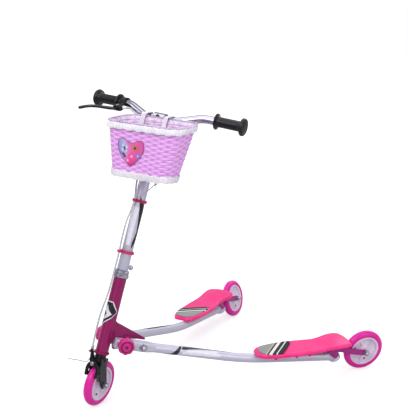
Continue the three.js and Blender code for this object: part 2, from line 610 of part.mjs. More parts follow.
function addLever(parent) {
  const placed = nest(parent, (g) => g.applyMatrix4(leverMatrix()));
  const onBar = bar.radius + clearance;
  const ringPart = ring(lever.ringRadius, onBar, -lever.ringHalf, lever.ringHalf, 'x', 20);
  const back = -lever.bodyBack;
  const body = boxBetween([back, lever.ringHalf], [(onBar + lever.ringRadius) / 2, lever.bodyEnd],
    [-lever.bodyHalf, lever.bodyHalf]);
  const bore = rod(onBar, -overrun, overrun, 'x', 20);
  const slot = boxBetween([back + lever.wall, lever.ringHalf + overrun],
    [lever.slotFrom, lever.bodyEnd + overrun], [-lever.slotHalf, lever.slotHalf]);
  const pinHole = rod(lever.pinHole, -overrun, overrun, 'z').translate(lever.pivotX, lever.pivotY, 0);
  const barrelHole = rod(barrel.hole, back - overrun, back + lever.wall + clearance, 'x')
    .translate(0, barrel.at, 0);
  node(placed, 'brake_lever_bracket', cut(join(ringPart, body), bore, slot, pinHole, barrelHole),
    finishes.blackPlastic);
  const line = leverLineShares.map(([x, y]) => [THREE.MathUtils.lerp(lever.pivotX, lever.tipX, x),
    THREE.MathUtils.lerp(lever.pivotY, lever.tipY, y)]);
  const outline = ribbon(line, leverWidthShares.map((share) => share * lever.eyeHalf), 12, 5);
  const blade = slab(outline, -lever.half, lever.half, 'z', lever.edge);
  node(placed, 'brake_lever', cut(blade, pinHole), finishes.blackPaint);
  const head = lever.bodyHalf + clearance;
  const top = head + lever.pinHead;
  const pin = revolve([[0, -top], [lever.pinRadius * 2, -top], [lever.pinRadius * 2, -head],
    [lever.pinRadius, -head], [lever.pinRadius, head], [lever.pinRadius * 2, head],
    [lever.pinRadius * 2, top], [0, top]], 'z', 10);
  node(placed, 'lever_pivot_pin', pin.translate(lever.pivotX, lever.pivotY, 0), finishes.steel);
  const stem = barrel.hole - clearance;
  const end = back - barrel.length;
  const adjuster = revolve([[0, back + barrel.stem], [stem, back + barrel.stem], [stem, back - clearance],
    [barrel.radius, back - clearance], [barrel.radius, end + barrel.taper],
    [barrel.radius * 0.8, end], [0, end]], 'x', 10);
  node(placed, 'barrel_adjuster', adjuster.translate(0, barrel.at, 0), finishes.steel);
  return new THREE.Vector3(end - clearance, barrel.at, 0).applyMatrix4(leverMatrix());
}

// One caliper arm: down beside the tyre to its shoe, and up to the cable on the rider's right.
function caliperArm(side, layer, hookX, hookZ) {
  const along = (shares, x, z) => shares.map(([a, b]) => [a * x, caliper.pivotZ + b * z]);
  const halves = caliperWidthShares.map((share) => share * caliper.eyeHalf);
  const lower = ribbon(along(caliperLowerShares, side * caliper.armReach, -caliper.armDrop), halves, 7, 4);
  const upper = ribbon(along(caliperUpperShares, hookX, hookZ - caliper.pivotZ), halves.slice(0, 3), 5, 4);
  const from = layer - caliper.armThick;
  const body = join(slab(lower, from, layer, 'y'), slab(upper, from, layer, 'y'));
  const hole = rod(caliper.boltRadius + clearance, layer - overrun, layer + overrun, 'y');
  return { body, hole: hole.translate(0, 0, caliper.pivotZ) };
}

function addCaliper(parent) {
  const z = caliper.pivotZ;
  const backLayer = caliper.pivotY;
  const frontLayer = backLayer - caliper.armThick - caliper.gap;
  const stopBottom = caliper.stopTop - caliper.stopHeight;
  const stop = revolve([[0, stopBottom], [caliper.flangeRadius, stopBottom],
    [caliper.flangeRadius, stopBottom + caliper.flangeHeight],
    [caliper.stopRadius, stopBottom + caliper.flangeHeight], [caliper.stopRadius, caliper.stopTop],
    [0, caliper.stopTop]], 'z', 12).translate(caliper.stopX, caliper.stopY, 0);
  const carrier = caliperArm(-1, backLayer, caliper.stopX, stopBottom);
  node(parent, 'caliper_arm_right', cut(join(carrier.body, stop), carrier.hole), finishes.blackPaint);
  const crossing = caliperArm(1, frontLayer, caliper.anchorX, caliper.anchorZ);
  node(parent, 'caliper_arm_left', cut(crossing.body, crossing.hole), finishes.blackPaint);
  [['brake_shoe_left', 1, frontLayer], ['brake_shoe_right', -1, backLayer]].forEach(([name, side, layer]) => {
    const x = [side * caliper.shoeInner, side * caliper.shoeOuter].sort((a, b) => a - b);
    const from = layer + clearance;
    const shoe = boxBetween(x, [from, backLayer + clearance + caliper.shoeLength],
      [caliper.shoeZ - caliper.shoeHalf, caliper.shoeZ + caliper.shoeHalf]);
    node(parent, name, outward(shoe), finishes.blackPlastic);
  });
  const nut = frontLayer - caliper.armThick - clearance;
  const behind = fork.tabBack + clearance;
  const bolt = revolve([[0, nut - caliper.nutHeight], [caliper.nutRadius * 0.8, nut - caliper.nutHeight],
    [caliper.nutRadius, nut - caliper.nutHeight * 0.8], [caliper.nutRadius, nut], [caliper.boltRadius, nut],
    [caliper.boltRadius, behind], [caliper.nutRadius, behind],
    [caliper.nutRadius, behind + caliper.nutHeight * 0.8], [0, behind + caliper.nutHeight * 0.8]], 'y', 12);
  node(parent, 'caliper_bolt', bolt.translate(0, 0, z), finishes.steel);
  const wireY = frontLayer - caliper.armThick - wire.radius - clearance;
  const points = [[caliper.stopX, caliper.stopY, stopBottom - 2.5],
    [caliper.stopX + 1, wireY, caliper.anchorZ + 6], [caliper.anchorX, wireY, caliper.anchorZ],
    [caliper.anchorX - 2, wireY - 2, z + 9], [-19, wireY - 1, z - 1], [-40, wireY + 2, z - 4],
    [-78, wireY + 3, z - 11]];
  const path = new THREE.CatmullRomCurve3(points.map((p) => new THREE.Vector3(...p)), false, 'centripetal');
  node(parent, 'brake_inner_wire', tube(path, wire.radius, 24, 5), finishes.steel);
}

function cablePoints(barrelEnd) {
  const inwards = new THREE.Vector3(1, 0, 0).applyMatrix4(new THREE.Matrix4().extractRotation(leverMatrix()));
  const out = barrelEnd.clone().addScaledVector(inwards, -barrel.length);
  return [
    [caliper.stopX, caliper.stopY, caliper.stopTop + clearance], [caliper.stopX, caliper.stopY - 2, 182],
    [-13.5, -32.5, 216], [-11, -36, 262], [-7.5, -29, 330], [-6.5, -28.5, 395], [-6.5, -28.5, 430],
    [-6.5, -28.7, 441], [-6.5, -31, 468], [-6.5, -30, 516], [-4.5, -23.5, 555], [-3.5, -22.5, 572],
    [-3.5, -22.3, 582], [-8, -20, 600], [-16, -12, 622], [-21, -5, 655], [-21, -5, 720],
    [-21, -6, 756], [-25, -8, 777], [-33, -9, 785.5], [-44, -10, 790], [-58, -11, 796],
    [-74, -11, 802], [-88, -10, 808], out.toArray(), barrelEnd.toArray(),
  ].map((p) => new THREE.Vector3(...p));
}

// Basket: rounded rectangles from floor to rim, with the rim plane tipped as it hangs

function basketPoint(turn, level, grow) {
  const halfX = THREE.MathUtils.lerp(basket.bottomHalfX, basket.topHalfX, level) + grow;
  const depth = THREE.MathUtils.lerp(basket.bottomDepth, basket.topDepth, level);
  const halfY = depth / 2 + grow;
  const corner = Math.min(basket.corner + grow, halfY);
  const flatX = halfX - corner;
  const flatY = halfY - corner;
  const quarter = [flatY, corner * Math.PI / 2, flatX];
  const total = quarter[0] + quarter[1] + quarter[2];
  const whole = (turn % 1) * 4;
  const part = Math.floor(whole);
  const back = part % 2 === 1;
  let along = (whole - part) * total;
  if (back) along = total - along;
  let x = halfX;
  let y = along;
  if (along > quarter[0] + quarter[1]) {
    x = flatX - (along - quarter[0] - quarter[1]);
    y = halfY;
  } else if (along > quarter[0]) {
    const angle = (along - quarter[0]) / corner;
    x = flatX + corner * Math.cos(angle);
    y = flatY + corner * Math.sin(angle);
  }
  if (part === 1 || part === 2) x = -x;
  if (part === 2 || part === 3) y = -y;
  const middleY = basket.backY - depth / 2;
  const middleX = basket.centreX + basket.drift * (1 - level);
  const z = basketTop() - basket.height * (1 - level) + THREE.MathUtils.lerp(basket.floorTilt,
    basket.rimTilt, level) * y + basket.tiltSide * x;
  return new THREE.Vector3(middleX + x, middleY + y, z);
}

function basketTop() {
  return bar.z - basket.belowBar;
}

function basketRing(level, grow, lift = () => 0, sides = basket.sides) {
  const points = [];
  for (let i = 0; i < sides; i += 1) {
    const point = basketPoint(i / sides, level, grow);
    point.z += lift(i / sides);
    points.push(point);
  }
  return points;
}

function strapPlaces() {
  return [['basket_strap_left', strap.at], ['basket_strap_right', -strap.at]];
}

function addBasket(parent) {
  const floorLevel = basket.wall / basket.height;
  const levels = [0, 0.5, 1];
  const outer = levels.map((level) => basketRing(level, 0));
  const inner = [1, 0.5, floorLevel].map((level) => basketRing(level, -basket.wall));
  const shell = loft([...outer, ...inner]);
  const slotHalf = strap.width / 2 + strap.slotGap;
  const slotTop = basketTop() - strap.slotZ;
  const slots = strapPlaces().map(([, x]) => boxBetween([x - slotHalf, x + slotHalf],
    [basket.backY - overrun, basket.backY + overrun], [slotTop - strap.slotHeight, slotTop]));
  node(parent, 'basket', cut(shell, ...slots), finishes.basketWeave);
  const wave = (turn) => basket.rimWave * Math.cos(2 * Math.PI * basket.rimWaves * turn);
  const under = -basket.rimHeight + basket.rimAbove;
  const inside = clearance;
  const outside = clearance + basket.rimThick;
  const band = [
    basketRing(1, inside, () => under), basketRing(1, outside * 0.8, (turn) => under + wave(turn)),
    basketRing(1, outside, () => 0),
    basketRing(1, outside * 0.8, (turn) => basket.rimAbove + wave(turn) / 2),
    basketRing(1, inside, () => basket.rimAbove)];
  node(parent, 'basket_rim', loopedLoft(band), finishes.hubPlastic);
  strapPlaces().forEach(([name, x]) => node(parent, name, strapGeometry(x), finishes.hubPlastic));
  const out = column.radius + tie.radius + clearance / 2;
  const tieFrom = new THREE.Vector3(tie.aside, -Math.sqrt(out ** 2 - tie.aside ** 2),
    clip.upperZ + tie.aboveClip);
  const corner = basketPoint(0, 0, 0);
  const floorZ = corner.z + basket.floorTilt * (tie.farY - corner.y)
    + basket.tiltSide * (tie.farX - corner.x);
  const tieTo = new THREE.Vector3(tie.farX, tie.farY, floorZ - tie.radius * 1.2 - clearance);
  const middle = tieFrom.clone().lerp(tieTo, 0.5);
  const path = new THREE.CatmullRomCurve3([tieFrom, middle, tieTo]);
  node(parent, 'basket_tie', tube(path, tie.radius, 6, 8), finishes.hubPlastic);
}

// A belt round the bar, over the rim and back through the slot in the basket's back wall.
function strapGeometry(x) {
  const strapFacets = 20;
  const rimTop = basketTop() + basket.rimTilt * basket.topDepth / 2 + basket.rimAbove + strap.overRim;
  const rimY = basket.backY - basket.wall - strap.behindRim;
  const low = basketTop() - strap.slotZ - strap.slotHeight + strap.turn;
  const turns = [[0, bar.z, bar.radius + strap.bend], [rimY, rimTop, strap.bend], [rimY, low, strap.bend]];
  const hull = (extra) => {
    const points = turns.flatMap(([cy, cz, radius]) => {
      const round = [];
      for (let i = 0; i < strapFacets; i += 1) {
        const angle = 2 * Math.PI * i / strapFacets;
        const reach = radius + extra;
        round.push(new THREE.Vector2(cy + reach * Math.cos(angle), cz + reach * Math.sin(angle)));
      }
      return round;
    });
    return convexHull(points);
  };
  const outline = new THREE.Shape(hull(strap.thick));
  outline.holes.push(new THREE.Path(hull(0)));
  return slab(outline, x - strap.width / 2, x + strap.width / 2, 'x');
}

function convexHull(points) {
  const sorted = [...points].sort((a, b) => a.x - b.x || a.y - b.y);
  const half = (list) => {
    const chain = [];
    list.forEach((p) => {
      while (chain.length > 1) {
        const [a, b] = chain.slice(-2);
        if ((b.x - a.x) * (p.y - a.y) - (b.y - a.y) * (p.x - a.x) > 0) break;
        chain.pop();
      }
      chain.push(p);
    });
    return chain.slice(0, -1);
  };
  return [...half(sorted), ...half(sorted.reverse())];
}

// Arms. The arm's frame runs out along y, with x outwards and z up, from where the arm starts.

function armMatrix() {
  return new THREE.Matrix4().makeRotationZ(-arm.splay).setPosition(arm.startX, arm.startY, arm.startZ);
}

// The front run's frame, tipped down along the arm, with its origin at the hinge pivot's height.
function frontTilt() {
  return new THREE.Matrix4().makeRotationX(-Math.atan(arm.frontSlope));
}

function pivotMatrix() {
  return new THREE.Matrix4().makeTranslation(0, hingeEnd.pivotAt, hingeEnd.pivotUp);
}

function armFrontMatrix() {
  return armMatrix().multiply(frontTilt()).multiply(pivotMatrix());
}

// The caster stands on the ground, and its housing is at the end of the arm.
function casterMatrix() {
  const swung = new THREE.Matrix4().makeRotationX(caster.lean)
    .multiply(new THREE.Matrix4().makeRotationZ(-caster.swung));
  const toWheel = new THREE.Vector3(0, caster.reach, -caster.drop).applyMatrix4(swung);
  const slope = Math.asin(new THREE.Vector3(1, 0, 0).applyMatrix4(swung).z);
  const at = new THREE.Vector3(arm.rearDrift, armEnd() + caster.pastArm, 0).applyMatrix4(armMatrix());
  return swung.setPosition(at.x, at.y, standingHeight(slope) - toWheel.z);
}

function armEnd() {
  return plate.from + plate.length - plate.pastArm;
}

// The arm's centre line: steep in front, then nearly level under the footplate.
function armPath(from = arm.neckTo + clearance) {
  const slope = Math.atan(arm.frontSlope);
  const frontLength = arm.frontRun / Math.cos(slope);
  const onFront = (along) => new THREE.Vector3(0, along * Math.cos(slope), -along * Math.sin(slope));
  const bendAt = onFront(frontLength);
  const housingZ = new THREE.Vector3().setFromMatrixPosition(casterMatrix()).z;
  const end = new THREE.Vector3(arm.rearDrift, armEnd(), housingZ - caster.aboveArm - arm.startZ);
  return bentPath([onFront(from), bendAt, end], arm.bend, 3);
}

function armTubeGeometry() {
  const body = pipe(armPath(), arm.radius, 14);
  const hollow = pipe(armPath(arm.neckTo + arm.shoulder), arm.radius - arm.wall, 8);
  const neck = rod(arm.neckRadius, arm.neckFrom, arm.neckTo + overrun / 2, 'y', 16)
    .applyMatrix4(frontTilt());
  const neckBore = rod(arm.neckRadius - arm.wall, arm.neckFrom - overrun, arm.neckTo + overrun, 'y', 8)
    .applyMatrix4(frontTilt());
  const boltHole = rod(crossBolt.hole, -overrun, overrun, 'x', 8).translate(0, hingeEnd.boltAt, 0)
    .applyMatrix4(frontTilt());
  const toArm = armMatrix().invert().multiply(casterMatrix());
  const housing = rod(caster.housingRadius, -caster.housingBottom, caster.housingTop, 'z', 18)
    .applyMatrix4(toArm);
  const bore = rod(caster.housingBore, -caster.housingBottom - overrun, caster.housingTop + overrun, 'z', 12)
    .applyMatrix4(toArm);
  const shell = cut(join(body, neck), hollow, neckBore);
  return cut(join(shell, housing), bore, boltHole);
}

// A square sleeve whose rear end rounds down to meet the tube.
function hingeEndGeometry() {
  const sides = 16;
  const section = (along, half, power) => {
    const points = [];
    for (let i = 0; i < sides; i += 1) {
      const angle = 2 * Math.PI * (i + 0.5) / sides;
      const c = Math.cos(angle);
      const s = Math.sin(angle);
      const size = half / (Math.abs(c) ** power + Math.abs(s) ** power) ** (1 / power);
      points.push(new THREE.Vector3(size * c, along, size * s));
    }
    return points;
  };
  const h = hingeEnd;
  const square = 8;
  const body = loft([section(h.front, h.half * 0.86, square), section(h.front + h.nose, h.half, square),
    section(h.squareTo, h.half, square), section(h.back, arm.radius + h.overTube, 2)]);
  const bore = rod(h.bore, h.plugDepth, h.back + overrun, 'y', 16);
  const pivotHole = rod(pivot.hole, -overrun, overrun, 'x', 12).translate(0, h.pivotAt, h.pivotUp);
  const boltHole = rod(crossBolt.hole, -overrun, overrun, 'x', 8).translate(0, h.boltAt, 0);
  return cut(body, bore, pivotHole, boltHole);
}

function knobGeometry() {
  const from = hingeEnd.half + clearance;
  const disc = from + knob.neckLength;
  const outline = [];
  for (let i = 0; i < knob.facets; i += 1) {
    const angle = 2 * Math.PI * i / knob.facets;
    const size = knob.radius - knob.lobeDepth * (0.5 - 0.5 * Math.cos(knob.lobes * angle));
    outline.push(new THREE.Vector2(size * Math.cos(angle), size * Math.sin(angle)));
  }
  const head = slab(new THREE.Shape(outline), disc, disc + knob.depth, 'x', knob.edge);
  const neck = rod(knob.neckRadius, from, disc + knob.edge, 'x', 16);
  const hole = rod(pivot.radius + clearance, -overrun, pivot.outer + clearance, 'x', 12);
  return cut(join(head, neck), hole);
}

function crossBoltGeometry() {
  const c = crossBolt;
  const face = hingeEnd.half + clearance;
  const nutTop = face + c.washer + c.nutHeight;
  return revolve([[0, -face - c.headHeight], [c.headRadius, -face - c.headHeight], [c.headRadius, -face],
    [c.radius, -face], [c.radius, face], [c.washerRadius, face], [c.washerRadius, face + c.washer],
    [c.nutRadius, face + c.washer], [c.nutRadius, nutTop], [c.domeRadius, nutTop + c.domeRadius * 0.3],
    [c.domeRadius * 0.7, nutTop + c.domeRadius * 0.75], [0, nutTop + c.domeRadius]], 'x', 12);
}

function shareAt(shares, at) {
  const places = plateAtShares;
  let i = 0;
  while (i < places.length - 2 && at > places[i + 1]) i += 1;
  const share = (at - places[i]) / (places[i + 1] - places[i]);
  return THREE.MathUtils.lerp(shares[i], shares[i + 1], share);
}

// One cross section of the plate's outside, or of its hollow when shrunk by the wall.
function plateSection(at, shrink, deeper) {
  const y = plate.from + THREE.MathUtils.lerp(shrink, plate.length - shrink, at);
  const rise = plate.heelRise * shareAt(plateRiseShares, at);
  const top = plate.top + rise - shrink - arm.startZ;
  const crown = plate.heelCrown * shareAt(plateRiseShares, at);
  const bottom = top + shrink - plate.lip - deeper;
  const roll = plate.roll;
  const side = (shares) => {
    const half = plate.halfWidth * shareAt(shares, at) - shrink;
    return [[half - plate.sideLean, bottom], [half, top - roll * 1.6], [half - roll * 0.3, top - roll * 0.45],
      [half - roll * 1.3, top], [half * 0.55, top + crown * 0.6]];
  };
  const inner = side(plateInnerShares).map(([x, z]) => [-x, z]);
  const outline = [...side(plateOuterShares), [0, top + crown], ...inner.reverse()];
  return outline.map(([x, z]) => new THREE.Vector3(plate.offset + x, y, z));
}

function plateGeometry() {
  const outside = loft(plateAtShares.map((at) => plateSection(at, 0, 0)));
  const hollow = loft(plateAtShares.map((at) => plateSection(at, plate.wall, overrun)));
  const shell = solid(outside).subtract(solid(hollow));
  const under = plate.top - plate.lip - arm.startZ;
  const ribbed = plateRibShares.reduce((sum, share) => {
    const y = [plate.from + plate.length * share, plate.from + plate.length * share + plate.ribThick];
    const wide = boxBetween([-plate.halfWidth, 2 * plate.halfWidth], y, [under, under + 2 * plate.lip]);
    const inside = solid(wide).intersect(solid(outside));
    const saddle = boxBetween([-plate.saddleHalf, plate.saddleHalf + arm.rearDrift], y,
      [under - plate.lip, under + plate.wall]);
    return sum.add(inside).add(solid(saddle));
  }, shell);
  const seat = pipe(armPath(), arm.radius + 2 * clearance, 14);
  return geometryOf(ribbed.subtract(solid(seat)));
}

function padGeometry() {
  const sections = padAtShares.map((share) => {
    const along = pad.front + pad.length * share;
    const at = along / plate.length;
    const narrowed = Math.min(1, 0.55 + share * 5);
    const half = (shares) => (plate.halfWidth * shareAt(shares, at) - pad.inset) * narrowed;
    const inner = -half(plateInnerShares);
    const outer = half(plateOuterShares);
    const rise = (plate.heelRise + plate.heelCrown) * shareAt(plateRiseShares, at);
    const low = plate.top + rise - arm.startZ + clearance;
    const corners = [[inner, low], [outer, low], [outer - pad.edge, low + pad.thick],
      [inner + pad.edge, low + pad.thick]];
    return corners.map(([x, height]) => new THREE.Vector3(plate.offset + x, plate.from + along, height));
  });
  return loft(sections);
}

// Caster frame: z is the swivel axis, and the wheel trails along y below the crown on top.
function casterForkGeometry() {
  const c = caster;
  const bottom = c.housingTop + clearance;
  const top = bottom + c.plateThick;
  const outer = c.legInner + c.legThick;
  const crown = boxBetween([-outer, outer], [-c.crownFront, c.crownBack], [bottom, top]);
  const from = top - c.legFrontHalf;
  const side = ribbon(casterLegShares.map(([y, z]) => [y * c.reach, from - z * (from + c.drop)]),
    [c.legFrontHalf, c.legFrontHalf, c.legEndHalf, c.legEndHalf], 8, 5);
  const legs = [[c.legInner, outer], [-outer, -c.legInner]].map(([from, to]) => slab(side, from, to, 'x'));
  const pinHole = rod(c.housingBore, bottom - overrun, top + overrun, 'z', 12);
  const axleHole = rod(axle.radius + clearance, -outer - overrun, outer + overrun, 'x')
    .translate(0, c.reach, -c.drop);
  return cut(join(crown, ...legs), pinHole, axleHole);
}

function kingpinGeometry() {
  const c = caster;
  const under = -c.housingBottom - clearance;
  const over = c.housingTop + c.plateThick + 2 * clearance;
  return revolve([[0, under - c.nutHeight], [c.nutRadius, under - c.nutHeight], [c.nutRadius, under],
    [c.pinRadius, under], [c.pinRadius, over], [c.headRadius, over], [c.headRadius, over + c.headHeight],
    [0, over + c.headHeight]], 'z', 12);
}

function addArm(parent, side) {
  const name = (part) => `${part}_${side}`;
  const placed = nest(parent, (g) => g.applyMatrix4(armMatrix()));
  const front = nest(placed, (g) => g.applyMatrix4(frontTilt()));
  const pivoted = nest(front, (g) => g.applyMatrix4(pivotMatrix()));
  node(placed, name('arm_tube'), armTubeGeometry(), finishes.silverPaint);
  node(front, name('hinge_end'), hingeEndGeometry(), finishes.silverPaint);
  node(front, name('cross_bolt'), crossBoltGeometry().translate(0, hingeEnd.boltAt, 0), finishes.chrome);
  node(pivoted, name('pivot_bolt'), rod(pivot.radius, pivot.inner, pivot.outer, 'x', 12), finishes.steel);
  node(pivoted, name('clamp_knob'), knobGeometry(), finishes.pinkPlastic);
  node(placed, name('footplate'), plateGeometry(), finishes.pinkPlastic);
  node(placed, name('grip_pad'), padGeometry(), finishes.blackPlastic);
  const swivel = nest(parent, (g) => g.applyMatrix4(casterMatrix()));
  node(swivel, name('caster_fork'), casterForkGeometry(), finishes.magentaPaint);
  node(swivel, name('caster_kingpin'), kingpinGeometry(), finishes.steel);
  const trailing = nest(swivel, (g) => g.position.set(0, caster.reach, -caster.drop));
  addWheel(trailing, { tyre: name('rear_tyre'), hub: name('rear_hub'), axle: name('rear_axle') },
    caster.legInner + caster.legThick + clearance);
}

// Assembly

function addSteering(parent) {
  const tilted = nest(parent, (g) => { g.rotation.x = -steering.rake; });
  addHeadset(tilted);
  const turned = nest(tilted, (g) => { g.rotation.z = steering.turned; });
  // The wheel leans as it is steered, so its centre comes down a little onto its tread.
  const lean = Math.asin(Math.sin(steering.rake) * Math.sin(steering.turned));
  const behind = -Math.sin(steering.rake) * Math.cos(steering.turned);
  const wheelAt = new THREE.Vector3(0, steering.trail,
    (standingHeight(lean) - steering.trail * behind) / Math.cos(steering.rake));
  const spinning = nest(turned, (g) => g.position.copy(wheelAt));
  addWheel(spinning, { tyre: 'front_tyre', hub: 'front_hub', axle: 'front_axle' },
    fork.bladeInner + fork.bladeThick + clearance);
  node(turned, 'fork', forkGeometry(wheelAt), finishes.blackPaint);
  const nutFrom = headTube.top + headset.flangeHeight + 2 * clearance;
  const locknut = ring(headset.nutRadius, headset.bore, nutFrom, nutFrom + headset.nutHeight - clearance,
    'z');
  node(turned, 'headset_locknut', locknut, finishes.chrome);
  node(turned, 'steering_column', columnGeometry(), finishes.silverPaint);
  addPullPin(turned);
  addHandlebar(turned);
  const barrelEnd = addLever(turned);
  addCaliper(turned);
  const points = cablePoints(barrelEnd);
  const cablePath = new THREE.CatmullRomCurve3(points, false, 'centripetal');
  node(turned, 'brake_cable', tube(cablePath, cable.radius, cable.steps, cable.sides), finishes.steel);
  const held = (z) => points.reduce((best, p) => (Math.abs(p.z - z) < Math.abs(best.z - z) ? p : best));
  node(turned, 'cable_clip_lower', clipGeometry(clip.lowerZ, held(clip.lowerZ)), finishes.magentaPaint);
  node(turned, 'cable_clip_upper', clipGeometry(clip.upperZ, held(clip.upperZ)), finishes.magentaPaint);
  addBasket(turned);
}

const scooter = new THREE.Group();
const whole = nest(scooter);
node(whole, 'frame_weldment', weldmentGeometry(), finishes.magentaPaint);
addSteering(whole);
addArm(whole, 'left');
addArm(nest(whole, (g) => { g.scale.x = -1; }), 'right');

// The part's origin is under the middle of its box, on the ground.
scooter.updateMatrixWorld(true);
const box = new THREE.Box3().setFromObject(whole, true);
whole.position.set(-(box.min.x + box.max.x) / 2, -(box.min.y + box.max.y) / 2, -box.min.z);
scooter.updateMatrixWorld(true);

export default scooter;
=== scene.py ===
import json
from math import atan, copysign, cos, pi, radians, sin, sqrt, tau

import bpy
from mathutils import Matrix, Vector


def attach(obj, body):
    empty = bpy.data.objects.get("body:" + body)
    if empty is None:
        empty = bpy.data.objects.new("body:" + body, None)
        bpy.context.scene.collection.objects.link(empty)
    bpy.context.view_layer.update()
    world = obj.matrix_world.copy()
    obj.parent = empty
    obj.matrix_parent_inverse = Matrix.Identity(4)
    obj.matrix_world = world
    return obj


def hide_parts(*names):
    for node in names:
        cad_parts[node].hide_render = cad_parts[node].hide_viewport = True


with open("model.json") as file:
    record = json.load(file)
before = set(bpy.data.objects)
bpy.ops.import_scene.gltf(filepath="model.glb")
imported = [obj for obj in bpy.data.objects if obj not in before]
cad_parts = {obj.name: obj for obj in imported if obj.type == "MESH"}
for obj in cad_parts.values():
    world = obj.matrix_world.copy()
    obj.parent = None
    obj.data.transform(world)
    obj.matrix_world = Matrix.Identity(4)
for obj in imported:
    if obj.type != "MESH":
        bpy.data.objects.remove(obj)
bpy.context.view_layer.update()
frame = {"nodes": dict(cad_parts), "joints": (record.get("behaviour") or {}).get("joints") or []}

# A kids' three wheel scooter. Metres in the end: +Z up, forward -Y, the rider's left +X.
# Each piece is shaped in millimetres in the frame of the part that carries it, then put in its place.
MM = 0.001
UP = Vector((0, 0, 1))

# Sizes in millimetres, with counts, slopes and angles, as the carried parts have them
TREAD_RADIUS = 12
TREAD_AT = 50.5
SPOKES = 5
FRONT_AXLE_HALF = 18.3
REAR_AXLE_HALF = 21.1
HEAD_RADIUS = 17
COLUMN_RADIUS = 15
PIN_Z = 395
BAR_Z = 801
BAR_RADIUS = 11.1
BAR_STRAIGHT = 46
BEND_INSIDE_GRIP = 36
BAR_BEND = 16
GRIP_X = 150
GRIP_Y = 24
GRIP_Z = 827
GRIP_LENGTH = 80
SWEEP = radians(4.3)
LEVER_AT = 16
LEVER_FORWARD = 0.826
CABLE_RADIUS = 2.5
CALIPER_Y = -21
CALIPER_Z = 132
CALIPER_ARM = 4.6
CALIPER_GAP = 0.5
FORK_TAB_Y = -15.2
ARM_RADIUS = 12.7
ARM_START_Z = 171.8
ARM_FRONT_RUN = 353
ARM_BEND = 70
ARM_END = (7, 625)
TUBE_START = 90.3
HOUSING_ABOVE_ARM = 9.7
FRONT_TILT = atan(0.25917)
PIVOT_AT = Vector((0, 2, 6))
CROSS_BOLT_AT = 56.5
KNOB_RADIUS = 22.5
KNOB_LOBES = 8
PLATE_FROM = 381
PLATE_LENGTH = 287
PLATE_HALF = 46
PLATE_TOP = 103 - ARM_START_Z
PLATE_OFFSET = 12
PLATE_LIP = 11.5
PAD_FRONT = 10
PAD_END = 118
PAD_BACK = 108
PAD_INSET = 7
PAD_LEAN = 0.8
BASKET_X = 27
BASKET_Y = -22
BASKET_HEIGHT = 138.5
FLOOR_HALF = 87
RIM_HALF = 110
FLOOR_DEPTH = 86
RIM_DEPTH = 114
BASKET_TOP = 779.5
BASKET_CORNER = 38
BASKET_DRIFT = 8
FLOOR_TILT = 0.22
RIM_TILT = 0.334
SIDE_TILT = 0.06
STAKES = 30
STAKE_INSET = 1.5
STRANDS = 21


# Frames of the parts

def frame_from(origin, x, z):
    x = Vector(x).normalized()
    z = Vector(z).normalized()
    y = z.cross(x)
    return Matrix(((x.x, y.x, z.x, origin[0]), (x.y, y.y, z.y, origin[1]),
                   (x.z, y.z, z.z, origin[2]), (0, 0, 0, 1)))


JOINTS = {joint["name"]: joint for joint in frame["joints"]}


def at(name):
    return Vector(JOINTS[name]["pos_m"])


def axis_of(name):
    return Vector(JOINTS[name]["axis"])


# The steering joint sits this many metres up its axis from the fork's own origin
STEERING_RAISED = 0.3
STEERED_ORIGIN = at("steering") - STEERING_RAISED * axis_of("steering")
STEERED = frame_from(STEERED_ORIGIN, axis_of("front_wheel_spin"), axis_of("steering"))
HEAD = frame_from(STEERED_ORIGIN, (1, 0, 0), axis_of("steering"))
FOLD = axis_of("arm_left_fold")
PIVOT = Matrix.Rotation(-FRONT_TILT, 3, "X") @ PIVOT_AT * MM
ARM = frame_from(at("arm_left_fold") - PIVOT.y * Vector((-FOLD.y, FOLD.x, 0)) - PIVOT.z * UP, FOLD, UP)
FRONT_RUN = ARM @ Matrix.Rotation(-FRONT_TILT, 4, "X")
PIVOTED = FRONT_RUN @ Matrix.Translation(PIVOT_AT * MM)
CASTER = frame_from(at("caster_left_swivel"), axis_of("rear_wheel_left_spin"),
                    axis_of("caster_left_swivel"))
REAR_WHEEL = frame_from(at("rear_wheel_left_spin"), axis_of("rear_wheel_left_spin"),
                        axis_of("caster_left_swivel"))
FRONT_WHEEL = frame_from(at("front_wheel_spin"), axis_of("front_wheel_spin"), axis_of("steering"))
MIRROR = Matrix.Diagonal((-1, 1, 1, 1))
TO_ALONG_Z = Matrix.Rotation(-pi / 2, 4, "Y")
TO_ALONG_Y = Matrix.Rotation(pi / 2, 4, "Z")


# Shader nodes

def feed(tree, node, inputs):
    """Gives each named input its value, or the output that feeds it."""
    for key, source in inputs.items():
        if isinstance(source, bpy.types.NodeSocket):
            tree.links.new(source, node.inputs[key])
        else:
            node.inputs[key].default_value = source


def add(tree, kind, inputs=None, **settings):
    node = tree.nodes.new("ShaderNode" + kind)
    for key, value in settings.items():
        setattr(node, key, value)
    feed(tree, node, inputs or {})
    return node


def maths(tree, operation, *values):
    return add(tree, "Math", dict(enumerate(values)), operation=operation).outputs[0]


def spread(tree, source, start, end, low=0, high=1, **settings):
    """A value taken from the range start to end into the range low to high."""
    return add(tree, "MapRange", {"Value": source, "From Min": start, "From Max": end, "To Min": low,
                                  "To Max": high}, **settings).outputs["Result"]


def mixed(tree, factor, a, b, blend="MIX"):
    node = add(tree, "Mix", {"Factor": factor, "A": a, "B": b}, data_type="RGBA", blend_type=blend)
    return node.outputs["Result"]


# Camera, light and floor

